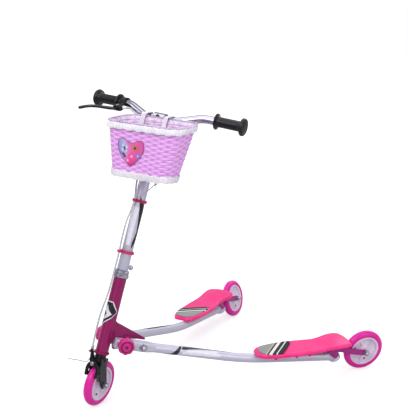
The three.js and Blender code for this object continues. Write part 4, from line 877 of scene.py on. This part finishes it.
def make_caliper_bolt():
    """The bolt through both caliper arms, and the wire spring that opens them."""
    front = CALIPER_Y - 2 * CALIPER_ARM - CALIPER_GAP - 0.3
    rod = turned("rod", from_x(front, [(-6, 0), (-6, 2.4), (-5.4, 3)])
                 + from_x(FORK_TAB_Y, [(0, 3), (0, 5.4), (3.4, 5), (3.4, 0)]), 32)
    nut = turned("nut", from_x(front, closed([(0, 2.8), (0, 5.2), (-0.4, 5.8), (-3.6, 5.8), (-4, 5.2),
                                              (-4, 2.8)])), 6)
    bolt = join("caliper_bolt_look", rod, nut)
    bolt.data.transform(TO_ALONG_Y)
    steered(moved(bolt, 0, 0, CALIPER_Z), "steel", ZINC, angle=30)
    spring = []
    for i in range(61):
        turn = i / 60
        angle = radians(200 - 220 * turn)
        spring.append((10.5 * cos(angle) * (1 - 0.2 * turn), FORK_TAB_Y - 1,
                       CALIPER_Z + 5 + 9 * sin(angle)))
    steered(pipe("caliper_spring", spring, 0.9, 2), "steel", ZINC)


# Basket

def basket_point(turn, level, grow, lift=0.0):
    """A place on the basket's wall, walked round by turn and up by level."""
    half_x = lerp(FLOOR_HALF, RIM_HALF, level) + grow
    depth = lerp(FLOOR_DEPTH, RIM_DEPTH, level)
    half_y = depth / 2 + grow
    corner = min(BASKET_CORNER + grow, half_y)
    flat_x = half_x - corner
    flat_y = half_y - corner
    bend_end = flat_y + corner * pi / 2
    whole = (turn % 1) * 4
    part = int(whole)
    along = (whole - part) * (bend_end + flat_x)
    if part % 2:
        along = bend_end + flat_x - along
    x = half_x
    y = along
    if along > bend_end:
        x = flat_x - (along - bend_end)
        y = half_y
    elif along > flat_y:
        angle = (along - flat_y) / corner
        x = flat_x + corner * cos(angle)
        y = flat_y + corner * sin(angle)
    if part in (1, 2):
        x = -x
    if part in (2, 3):
        y = -y
    z = BASKET_TOP - BASKET_HEIGHT * (1 - level) + lerp(FLOOR_TILT, RIM_TILT, level) * y + SIDE_TILT * x
    return Vector((BASKET_X + BASKET_DRIFT * (1 - level) + x, BASKET_Y - depth / 2 + y, z + lift))


def strand(name, row):
    """One cane strand woven out and in between the stakes, offset by a stake on every other row."""
    per_stake = 8
    middle = (row + 0.6) * BASKET_HEIGHT / (STRANDS + 0.4)
    section = [(-3.2, 0), (-2.9, 0.72), (-1.3, 0.95), (1.3, 0.95), (2.9, 0.72), (3.2, 0), (2.4, -0.8),
               (-2.4, -0.8)]
    rings = []
    for i in range(STAKES * per_stake):
        turn = (i / per_stake + row % 2) / STAKES
        out = cos(pi * i / per_stake) - STAKE_INSET
        rings.append([basket_point(turn, (middle + dz) / BASKET_HEIGHT, out + dg) for dz, dg in section])
    return skin(name, rings, uv=lambda column, at_row: (column / 8, at_row / (2 * per_stake)), loop=True)


def stake(name, i):
    return pipe(name, [basket_point(i / STAKES, level / 6, -STAKE_INSET) for level in range(7)], 0.9, 1)


def band(name, section, pleats, depth, wave, steps):
    """A closed band round the basket, gathered in pleats and waved along its edges."""
    waves = 22
    rings = []
    for i in range(pleats * steps):
        turn = i / (pleats * steps)
        fold = depth * cos(tau * pleats * turn)
        swell = wave * cos(tau * waves * turn)
        rings.append([basket_point(turn, level, grow + fold * ripple, lift + swell * ripple)
                      for level, lift, grow, ripple in section])
    return skin(name, rings, loop=True)


def braid(name, turns, grow, lift, radius, swing):
    """Two thin strands twisted round each other along the rim."""
    parts = []
    steps = turns * 8
    for start in (0, pi):
        points = []
        for i in range(steps):
            angle = tau * turns * i / steps + start
            points.append(basket_point(i / steps, 1, grow + swing * cos(angle),
                                       lift + swing * sin(angle)))
        parts.append(pipe("strand", points, radius, 1, cyclic=True))
    return join(name, *parts)


def basket_floor(name):
    """The woven floor, rings of strands that go up and down between spokes."""
    hoops = 30
    count = 120
    level = 0.012
    inset = -1.2
    middle = basket_point(0.25, level, inset).lerp(basket_point(0.75, level, inset), 0.5)
    rings = []
    for hoop in range(hoops + 1):
        ring = []
        for i in range(count):
            point = middle.lerp(basket_point(i / count, level, inset), 1 - 0.97 * hoop / hoops)
            point.z += 0.9 * cos(pi * STAKES * i / count) * sin(pi * hoop / 2)
            ring.append(point)
        rings.append(ring)
    obj = skin(name, rings)
    bpy.ops.object.mode_set(mode="EDIT")
    bpy.ops.mesh.select_all(action="DESELECT")
    end_edit()
    centre = sum(rings[-1], Vector()) / count
    for vertex in obj.data.vertices:
        vertex.select = (vertex.co - centre).length < 4.5
    bpy.ops.object.mode_set(mode="EDIT")
    bpy.ops.mesh.merge(type="CENTER")
    end_edit()
    return thickened(obj, 1.6, 1)


def make_basket():
    strands = join("basket_look", *[strand("strand", row) for row in range(STRANDS)])
    steered(strands, "basket_weave", CANE, angle=60)
    stakes = join("basket_stakes", *[stake("stake", i) for i in range(STAKES)])
    steered(stakes, "basket_weave", CANE_INSIDE, angle=60)
    steered(basket_floor("basket_floor"), "basket_weave", CANE_INSIDE, angle=60)
    # level, height above it, distance out from the wall, and how far the pleats reach there
    rim_section = [(1, -12.6, 0.4, 0.4), (1, -13.4, 2.2, 1), (1, -11.6, 3.4, 1), (1, -8, 3.7, 0.9),
                   (1, -3.5, 3.9, 0.8), (1, 0.4, 3.8, 0.8), (1, 2.3, 3.1, 0.6), (1, 2.8, 1.8, 0.4),
                   (1, 2.2, 0.6, 0.2), (1, 0, 0.4, 0)]
    foot_section = [(0, -1.8, 0, 0.3), (0, -2.2, 1.4, 0.6), (0, -0.6, 2.5, 0.8), (0.04, 0, 2.9, 1),
                    (0.08, 0, 2.9, 1), (0.105, 0, 2.6, 1), (0.115, 0, 1.8, 1), (0.11, 0, 0.4, 0.6),
                    (0, 1, -0.2, 0)]
    steered(band("basket_rim_look", rim_section, 66, 0.75, 1.4, 6), "white_plastic", WHITE,
            angle=60)
    steered(braid("basket_rim_braid", 44, 1.2, 4.2, 1.15, 1.5), "white_plastic", BRAID, angle=60)
    steered(band("basket_foot_band", foot_section, 44, 0.55, 1.5, 8), "white_plastic", WHITE, angle=60)


# The printed heart on the basket, with a design of flowers and a butterfly

HEART_TURN = 0.714
HEART_LEVEL = 0.475
HEART_WIDTH = 72
HEART_HEIGHT = 70
WALL_LENGTH = 528.8
HEART_SPAN = 80
PRINT_LIFT = 1.6
TOP_PRINT_LIFT = 2.1


def on_wall(u, v, lift):
    """A place in millimetres across and up from the heart's middle, lifted off the wall."""
    return basket_point(HEART_TURN + u / WALL_LENGTH, HEART_LEVEL + v / BASKET_HEIGHT, lift)


def print_patch(name, outline, centre, lift, rings):
    """A thin print that follows the wall, from its centre out to an outline."""
    scales = [0.03 + 0.97 * i / rings for i in range(rings + 1)]
    flat = [[(centre[0] + u * s, centre[1] + v * s) for u, v in outline] for s in scales]

    def uv(column, row):
        u, v = flat[row][column % len(outline)]
        return (u / HEART_SPAN + 0.5, v / HEART_SPAN + 0.5)
    points = [[on_wall(u, v, lift) for u, v in row] for row in flat]
    return thickened(skin(name, points, uv=uv, caps=True), 0.35)


def heart_outline(width, height, count):
    points = []
    for i in range(count):
        t = tau * i / count
        u = copysign(abs(sin(t)) ** 1.5, sin(t))
        v = 13 * cos(t) - 5 * cos(2 * t) - 2 * cos(3 * t) - cos(4 * t)
        v += 2.5 * max(0, cos(t)) ** 8
        points.append((u * width / 2, (v + 2.5) * height / 29))
    return points


def petals(size, count, depth, turn=0.0):
    """An outline with the given count of petals, cut in by a share of its size."""
    points = []
    for i in range(60):
        angle = tau * i / 60
        reach = size * (1 - depth + depth * abs(cos(count * (angle - turn) / 2)))
        points.append((reach * cos(angle), reach * sin(angle)))
    return points


def make_heart():
    prints = [
        ("print", heart_outline(HEART_WIDTH, HEART_HEIGHT, 96), (0, 0), 1.1, HEART, 10),
        ("flower_large", petals(12, 5, 0.42, 0.4), (4, -9), PRINT_LIFT, PRINTS["pink"], 5),
        ("flower_large_middle", petals(3.8, 8, 0.1), (4, -9), TOP_PRINT_LIFT, PRINTS["rose"], 2),
        ("flower_amber", petals(8.6, 5, 0.4, 0.9), (12, 14), PRINT_LIFT, PRINTS["amber"], 4),
        ("flower_amber_middle", petals(3.2, 8, 0.1), (12, 14), TOP_PRINT_LIFT, PRINTS["brown"], 2),
        ("flower_blue", petals(6, 5, 0.4, 0.1), (22, -6), PRINT_LIFT, PRINTS["blue"], 4),
        ("flower_blue_middle", petals(2.2, 8, 0.1), (22, -6), TOP_PRINT_LIFT, PRINTS["sky"], 2),
        ("butterfly", petals(11, 4, 0.72, 0.62), (-17, 10), PRINT_LIFT, PRINTS["sky"], 5),
        ("butterfly_body", petals(5.2, 2, 0.75, 1.9), (-17, 10), TOP_PRINT_LIFT, PRINTS["plum"], 2),
        ("leaf", petals(7, 2, 0.7, 2.2), (-19, -8), PRINT_LIFT, PRINTS["plum"], 3),
        ("flower_small", petals(4.5, 5, 0.4, 0.3), (-8, -21), PRINT_LIFT, PRINTS["rose"], 3),
    ]
    for name, outline, centre, lift, mat, rings in prints:
        steered(print_patch("heart_" + name, outline, centre, lift, rings), "white_plastic", mat)
    edge = [on_wall(u, v, 1.3) for u, v in heart_outline(HEART_WIDTH + 0.6, HEART_HEIGHT + 0.6, 120)]
    steered(pipe("heart_edge", edge, 0.6, 1, cyclic=True), "white_plastic", PRINTS["plum"])


# Tie string below the basket

def make_tie():
    """A string from the column to the basket's floor, with a knot and two tails."""
    start = Vector((6, -15.4, 589))
    corner = basket_point(0, 0, 0)
    end = Vector((72, -50, 0))
    end.z = corner.z + FLOOR_TILT * (end.y - corner.y) + SIDE_TILT * (end.x - corner.x) - 2
    points = [start.lerp(end, i / 24) - UP * (3 * sin(pi * i / 24)) for i in range(25)]
    knot_at = points[19]
    along = (end - start).normalized()
    side = Vector((0.4, -0.9, 0.2)).normalized()
    up = along.cross(side).normalized()
    size = 2.6
    knot = []
    for i in range(73):
        angle = 2 * tau * i / 72
        knot.append(knot_at + size * (along * sin(angle * 0.75) + side * cos(angle)
                                      + up * sin(angle)))
    parts = [pipe("string", points, 1.5, 2), pipe("knot", knot, 1.2, 2)]
    for s in (1, -1):
        tail = [knot_at, knot_at + Vector((4, -6, 4 * s)), knot_at + Vector((10, -9, 9 * s - 2))]
        parts.append(pipe("tail", smooth_between(tail, 6), 0.9, 2))
    steered(join("basket_tie_look", *parts), "white_plastic", STRING)


# Stickers on the tubes

def finer(rows):
    """The same rows of three numbers, with three more worked out between each two."""
    between = 4
    out = []
    for before, after in zip(rows, rows[1:]):
        out += [[lerp(a, b, i / between) for a, b in zip(before, after)] for i in range(between)]
    return out + [rows[-1]]


def tube_patch(name, rows, radius, on_tube):
    """A thin sticker on a tube, from rows of place along it and its two angles in degrees."""
    grid = [[on_tube(radius, along, radians(lerp(low, high, i / 12))) for i in range(13)]
            for along, low, high in finer(rows)]
    return thickened(skin(name, grid, wrap=False), 0.3)


def slanted_patch(name, rows, radius, on_tube):
    """A thin sticker on a tube, from rows of angle in degrees and its two ends along the tube."""
    grid = [[on_tube(radius, lerp(low, high, i / 8), radians(angle)) for i in range(9)]
            for angle, low, high in finer(rows)]
    return thickened(skin(name, grid, wrap=False), 0.3)


def on_column(radius, along, angle):
    return Vector((radius * cos(angle), radius * sin(angle), along))


def on_arm(radius, along, angle):
    return Vector((radius * cos(angle), along, radius * sin(angle)))


def make_stickers():
    upright = [
        ("column_swoosh", STEERED, "steering", "black_paint", STICKER_BLACK, COLUMN_RADIUS + 0.3,
         [(589, -64, -62), (572, -54, -8), (556, -42, 30), (524, -24, 30), (495, -9, 30), (467, -31, 6),
          (449, -31, -29)]),
        ("column_panel", STEERED, "steering", "silver_paint", STICKER_PALE, COLUMN_RADIUS + 0.25,
         [(561, -125, -46), (530, -118, -47), (490, -104, -49), (457, -92, -50)]),
        ("head_sticker", HEAD, "frame", "black_paint", STICKER_BLACK, HEAD_RADIUS + 0.6,
         [(299, -140, -46), (288, -145, -24), (276, -150, 9), (261, -148, -28), (241, -140, -102),
          (230, -132, -122)]),
        ("head_sticker_border", HEAD, "frame", "silver_paint", STICKER_PALE, HEAD_RADIUS + 0.35,
         [(302, -142, -43), (291, -148, -18), (276, -152, 15), (259, -150, -24), (238, -142, -98),
          (227, -134, -120)]),
        ("head_sticker_light", HEAD, "frame", "black_paint", STICKER_PALE, HEAD_RADIUS + 0.8,
         [(290, -96, -84), (276, -112, -62), (268, -80, -30), (262, -92, -52), (252, -122, -88)]),
    ]
    for name, where, body, slot, mat, radius, rows in upright:
        put(tube_patch(name, rows, radius, on_column), where, body, slot, mat)
    on_arms = [
        ("wedge", slanted_patch, STICKER_BLACK, [(-78, 121, 150), (-55, 126, 154), (-33, 139, 157),
                                                 (20, 150, 162), (70, 159, 166), (100, 164, 168)]),
        ("swoosh_start", slanted_patch, STICKER_BLACK, [(40, 166, 178), (60, 168, 196), (85, 170, 206),
                                                        (112, 174, 210)]),
        ("swoosh", tube_patch, STICKER_BLACK, [(190, 52, 114), (222, 74, 114), (278, 93, 110),
                                               (316, 91, 95)]),
        ("panel", tube_patch, STICKER_PALE, [(168, -22, 0), (188, -20, 44), (230, -14, 60),
                                             (270, -6, 71), (284, 2, 12)]),
    ]
    for number, (name, make, mat, rows) in enumerate(on_arms):
        both_sides("arm_" + name,
                   lambda label: make(label, rows, ARM_RADIUS + 0.25 + 0.1 * number, on_arm),
                   FRONT_RUN, "arm", "silver_paint", mat)


# Arms

def on_front(along):
    """A point on the middle line of the sloped front run."""
    return Vector((0, along * cos(FRONT_TILT), -along * sin(FRONT_TILT)))


def caster_in_arm():
    """The caster's frame seen from the arm's, in millimetres."""
    inside = ARM.inverted() @ CASTER
    inside.translation = inside.translation / MM
    return inside


def arm_path():
    """The tube's middle line: a sloped front run, one bend and a level rear run."""
    end = Vector((*ARM_END, caster_in_arm().translation.z - HOUSING_ABOVE_ARM))
    return bent([on_front(TUBE_START), on_front(ARM_FRONT_RUN / cos(FRONT_TILT)), end], ARM_BEND)


def arm_tube(name):
    """The bent tube, and the thinner neck that plugs into the hinge end."""
    body = pipe("run", arm_path(), ARM_RADIUS, 11)
    neck = turned("neck", closed([(36, 8.8), (36, 10.6), (100, 10.6), (100, 8.8)]), 40, TO_ALONG_Y)
    neck.data.transform(Matrix.Rotation(-FRONT_TILT, 4, "X"))
    return join(name, body, neck)


def on_caster_axis(name, profile):
    obj = turned(name, closed(profile), 64, TO_ALONG_Z)
    obj.data.transform(caster_in_arm())
    return obj


def caster_housing(name):
    return on_caster_axis(name, [(-20, 8.2), (-20, 14.6), (-19, 16.1), (-13, 16.1), (-12.2, 15.6),
                                 (14.2, 15.6), (15, 16.1), (21, 16.1), (22, 14.8), (22, 8.2)])


def caster_collar(name):
    """The silver foot round the lower end of the caster's housing."""
    return on_caster_axis(name, [(-20, 15.8), (-20, 17.2), (-19.2, 17.9), (-10.4, 17.4), (-9.6, 16.8),
                                 (-9.6, 15.8)])


def weld_bead(name):
    """The weld that runs round the arm's tube where it meets the caster's housing."""
    path = arm_path()
    along = (path[-1] - path[-2]).normalized()
    up = (UP - along * along.z).normalized()
    side = along.cross(up)
    to_housing = caster_in_arm().inverted()
    points = []
    for i in range(72):
        angle = tau * i / 72
        out = up * cos(angle) + side * sin(angle)
        low = path[-1] - along * 40 + out * (ARM_RADIUS + 0.5)
        reach = 0
        while reach < 60 and (to_housing @ (low + along * reach)).xy.length > 16.6:
            reach += 0.5
        points.append(low + along * (reach + 0.3 * sin(angle * 18)))
    return pipe(name, points, 1.7, 1, cyclic=True)


def knob(name):
    """A lobed clamp knob with a rounded rim, a groove in its face and a boss in the middle."""
    stations = [(22.4, 0.86), (23.2, 0.93), (25.4, 0.985), (29, 1), (37, 1), (40.2, 0.985), (42.4, 0.94),
                (43.2, 0.88), (43.4, 0.82), (42.9, 0.76), (41.4, 0.72), (41.2, 0.56), (42.6, 0.52),
                (42.9, 0.4)]
    rings = []
    for x, size in stations:
        ring = []
        for i in range(128):
            angle = tau * i / 128
            lobe = 1.9 * (0.5 - 0.5 * cos(KNOB_LOBES * angle)) * min(1, max(0, (size - 0.7) / 0.2))
            radius = KNOB_RADIUS * size - lobe
            ring.append(Vector((x, radius * cos(angle), radius * sin(angle))))
        rings.append(ring)
    neck = turned("neck", closed([(13.4, 5.4), (13.4, 8.6), (14, 9), (22, 9), (23, 10.5), (23, 5.4)]), 48)
    return join(name, skin("head", rings, caps=True), neck)


def knob_cap(name):
    """The hexagonal cap in the knob's boss and the ring in its groove, both dark as painted shade of the
    knob's recesses.
    """
    cap = turned("cap", [(42.4, 0), (42.4, 5.2), (43.4, 5), (43.9, 4.2), (43.9, 2.6), (43.5, 2.3),
                         (43.5, 0)], 6)
    # A dark ring on the groove's floor: painted shade
    groove = turned("groove", closed([(41, 12.5), (41, 16.3), (41.9, 16.3), (41.9, 12.5)]), 64)
    return join(name, cap, groove)


def cross_bolt(name):
    """The bolt across the hinge end, with a hexagon head inside and a dome nut outside."""
    rod = turned("rod", [(-13.4, 0), (-13.4, 4), (13.6, 4), (13.6, 0)], 32)
    head = turned("head", [(-17.9, 0), (-17.9, 3), (-16.8, 3.4), (-16.6, 6), (-17.4, 6.3), (-16.8, 6.6),
                           (-13.4, 6.6), (-13.4, 0)], 6)
    washer = turned("washer", closed([(13.4, 4), (13.4, 10.6), (13.8, 11), (14.6, 11), (14.9, 10.6),
                                      (14.9, 4)]), 48)
    nut = turned("nut", closed([(14.9, 3.6), (14.9, 8.2), (15.3, 8.7), (19.2, 8.7), (19.9, 7.8),
                                (19.9, 3.6)]), 6)
    dome = turned("dome", [(19.6, 0), (19.6, 7)] + arc((20.2, 0), 6.8, 86, 4, 9) + [(27, 0)], 40)
    return moved(join(name, rod, head, washer, nut, dome), 0, CROSS_BOLT_AT, 0)


# Footplates: shares of the length, with the half widths and the rise of the heel there

PLATE_AT = (0, 0.03, 0.09, 0.18, 0.32, 0.46, 0.58, 0.66, 0.74, 0.84, 0.92, 0.975, 1)
PLATE_INNER = (0.42, 0.64, 0.8, 0.92, 1, 1, 0.9, 0.8, 0.86, 1.02, 1.04, 0.88, 0.5)
PLATE_OUTER = (0.42, 0.64, 0.8, 0.92, 1, 1.02, 1, 0.99, 1.01, 1.06, 1.08, 0.96, 0.66)
PLATE_RISE = (0.2, 0, 0, 0, 0, 0, 0.05, 0.2, 0.5, 0.9, 1, 0.9, 0.7)


def share_at(shares, where):
    """A share read off between the places that PLATE_AT lists."""
    i = 0
    while i < len(PLATE_AT) - 2 and where > PLATE_AT[i + 1]:
        i += 1
    share = (where - PLATE_AT[i]) / (PLATE_AT[i + 1] - PLATE_AT[i])
    return lerp(shares[i], shares[i + 1], share)


def plate_row(where, sunk=0.0):
    """One row over the plate from the foot of its inner lip to the foot of its outer lip."""
    rise = share_at(PLATE_RISE, where)
    top = PLATE_TOP + 7 * rise
    crown = 4 * rise
    foot = top - PLATE_LIP
    dish = 1.1 * (1 - rise)

    def side(shares):
        half = PLATE_HALF * share_at(shares, where)
        return [(half - 1.2, foot), (half - 0.4, foot + 1.4), (half, top - 6.8), (half - 0.5, top - 3.2),
                (half - 2.2, top - 1), (half - 5.2, top - 0.1), (half - 9, top - dish),
                (half * 0.55, top + crown * 0.6 - dish), (half * 0.25, top + crown * 0.9 - dish)]
    inner = [(-x, z) for x, z in side(PLATE_INNER)]
    outline = inner + [(0, top + crown - dish)] + list(reversed(side(PLATE_OUTER)))
    y = PLATE_FROM + PLATE_LENGTH * where
    return [Vector((PLATE_OFFSET + x, y, z - sunk * (z - foot))) for x, z in outline]


def footplate(name):
    """A moulded plate with a rolled edge, a lip all round and a raised heel, open below."""
    rows = [plate_row(0, 1.0), plate_row(0, 0.45)]
    for point in rows[0] + rows[1]:
        point.y += 0.2
    places = []
    for a, b in zip(PLATE_AT, PLATE_AT[1:]):
        steps = max(1, round((b - a) / 0.035))
        places += [lerp(a, b, i / steps) for i in range(steps)]
    rows += [plate_row(where) for where in places[1:]]
    rows += [plate_row(1, 0.45), plate_row(1, 1.0)]
    obj = apply(skin(name, rows, wrap=False), "SUBSURF", levels=2, render_levels=2)
    return thickened(obj, 2.6, -1)


def saddles(name):
    """The two walls under the plate that sit on the arm's tube."""
    parts = []
    for share in (0.24, 0.62):
        y = PLATE_FROM + PLATE_LENGTH * share
        parts.append(block("saddle", (-17, y, PLATE_TOP - 20), (24, y + 5, PLATE_TOP - 5), 0.8))
    return join(name, *parts)


def lip_screws(name):
    """Small screw heads under the plate's outer lip."""
    parts = []
    for along in (46, 108, 148):
        x = PLATE_OFFSET + PLATE_HALF * share_at(PLATE_OUTER, along / PLATE_LENGTH) - 4
        head = turned("head", [(0, 0), (0, 4.6), (3.6, 4.6), (5.2, 3.4), (5.8, 1.6), (5.8, 0)], 24,
                      Matrix.Rotation(pi / 2, 4, "Y"))
        parts.append(moved(head, x, PLATE_FROM + along, PLATE_TOP - 10.6))
    return join(name, *parts)


def grip_pad(name):
    """A thin textured pad that tapers to the plate's toe and ends on a slant behind."""
    count = 28
    low = PLATE_TOP - 0.9
    rows = []
    for i in range(count + 1):
        share = i / count
        where = lerp(PAD_FRONT, PAD_END, share) / PLATE_LENGTH
        narrowed = min(1, 0.55 + share * 5)
        inner = -(PLATE_HALF * share_at(PLATE_INNER, where) - PAD_INSET) * narrowed
        outer = (PLATE_HALF * share_at(PLATE_OUTER, where) - PAD_INSET) * narrowed
        end = 0.4 if i in (0, count) else 0
        high = PLATE_TOP + 2.5 - end
        across = [(inner + end, low), (inner + end, high - 0.9)]
        across += [(lerp(inner + 1, outer - 1, j / 9), high) for j in range(10)]
        across += [(outer - end, high - 0.9), (outer - end, low)]
        row = []
        for x, z in across:
            back = min(PAD_END, PAD_BACK - PAD_LEAN * (PLATE_OFFSET + x))
            row.append(Vector((PLATE_OFFSET + x, PLATE_FROM + lerp(PAD_FRONT, back, share), z)))
        rows.append(row)

    def uv(column, row):
        point = rows[row][column % len(rows[row])]
        return (point.x / PAD_BACK, (point.y - PLATE_FROM + PAD_LEAN * point.x) / PAD_BACK)
    return skin(name, rows, caps=True, uv=uv)


def make_arms():
    both_sides("arm_tube", arm_tube, ARM, "arm", "silver_paint", SILVER)
    both_sides("caster_housing", caster_housing, ARM, "arm", "magenta_paint", CASTER_PAINT)
    both_sides("caster_collar", caster_collar, ARM, "arm", "silver_paint", SILVER)
    both_sides("arm_weld", weld_bead, ARM, "arm", "silver_paint", SILVER)
    both_sides("cross_bolt", cross_bolt, FRONT_RUN, "arm", "chrome", CHROME, angle=30)
    both_sides("clamp_knob", knob, PIVOTED, "knob", "pink_plastic", KNOB)
    # The knob's groove ring and boss cap, dark as painted shade
    both_sides("clamp_knob_cap", knob_cap, PIVOTED, "knob", "pink_plastic", KNOB_RECESS_SHADE, angle=30)
    both_sides("footplate", footplate, ARM, "arm", "pink_plastic", PINK, angle=50)
    both_sides("footplate_saddles", saddles, ARM, "arm", "pink_plastic", PINK)
    both_sides("footplate_screws", lip_screws, ARM, "arm", "pink_plastic", KNOB)
    both_sides("grip_pad", grip_pad, ARM, "arm", "pad", PAD)


set_camera()
set_studio()
set_floor()
dress_kept()
make_head()
make_wheels()
make_column()
make_bar()
make_cable()
make_caliper_bolt()
make_basket()
make_heart()
make_tie()
make_arms()
make_stickers()
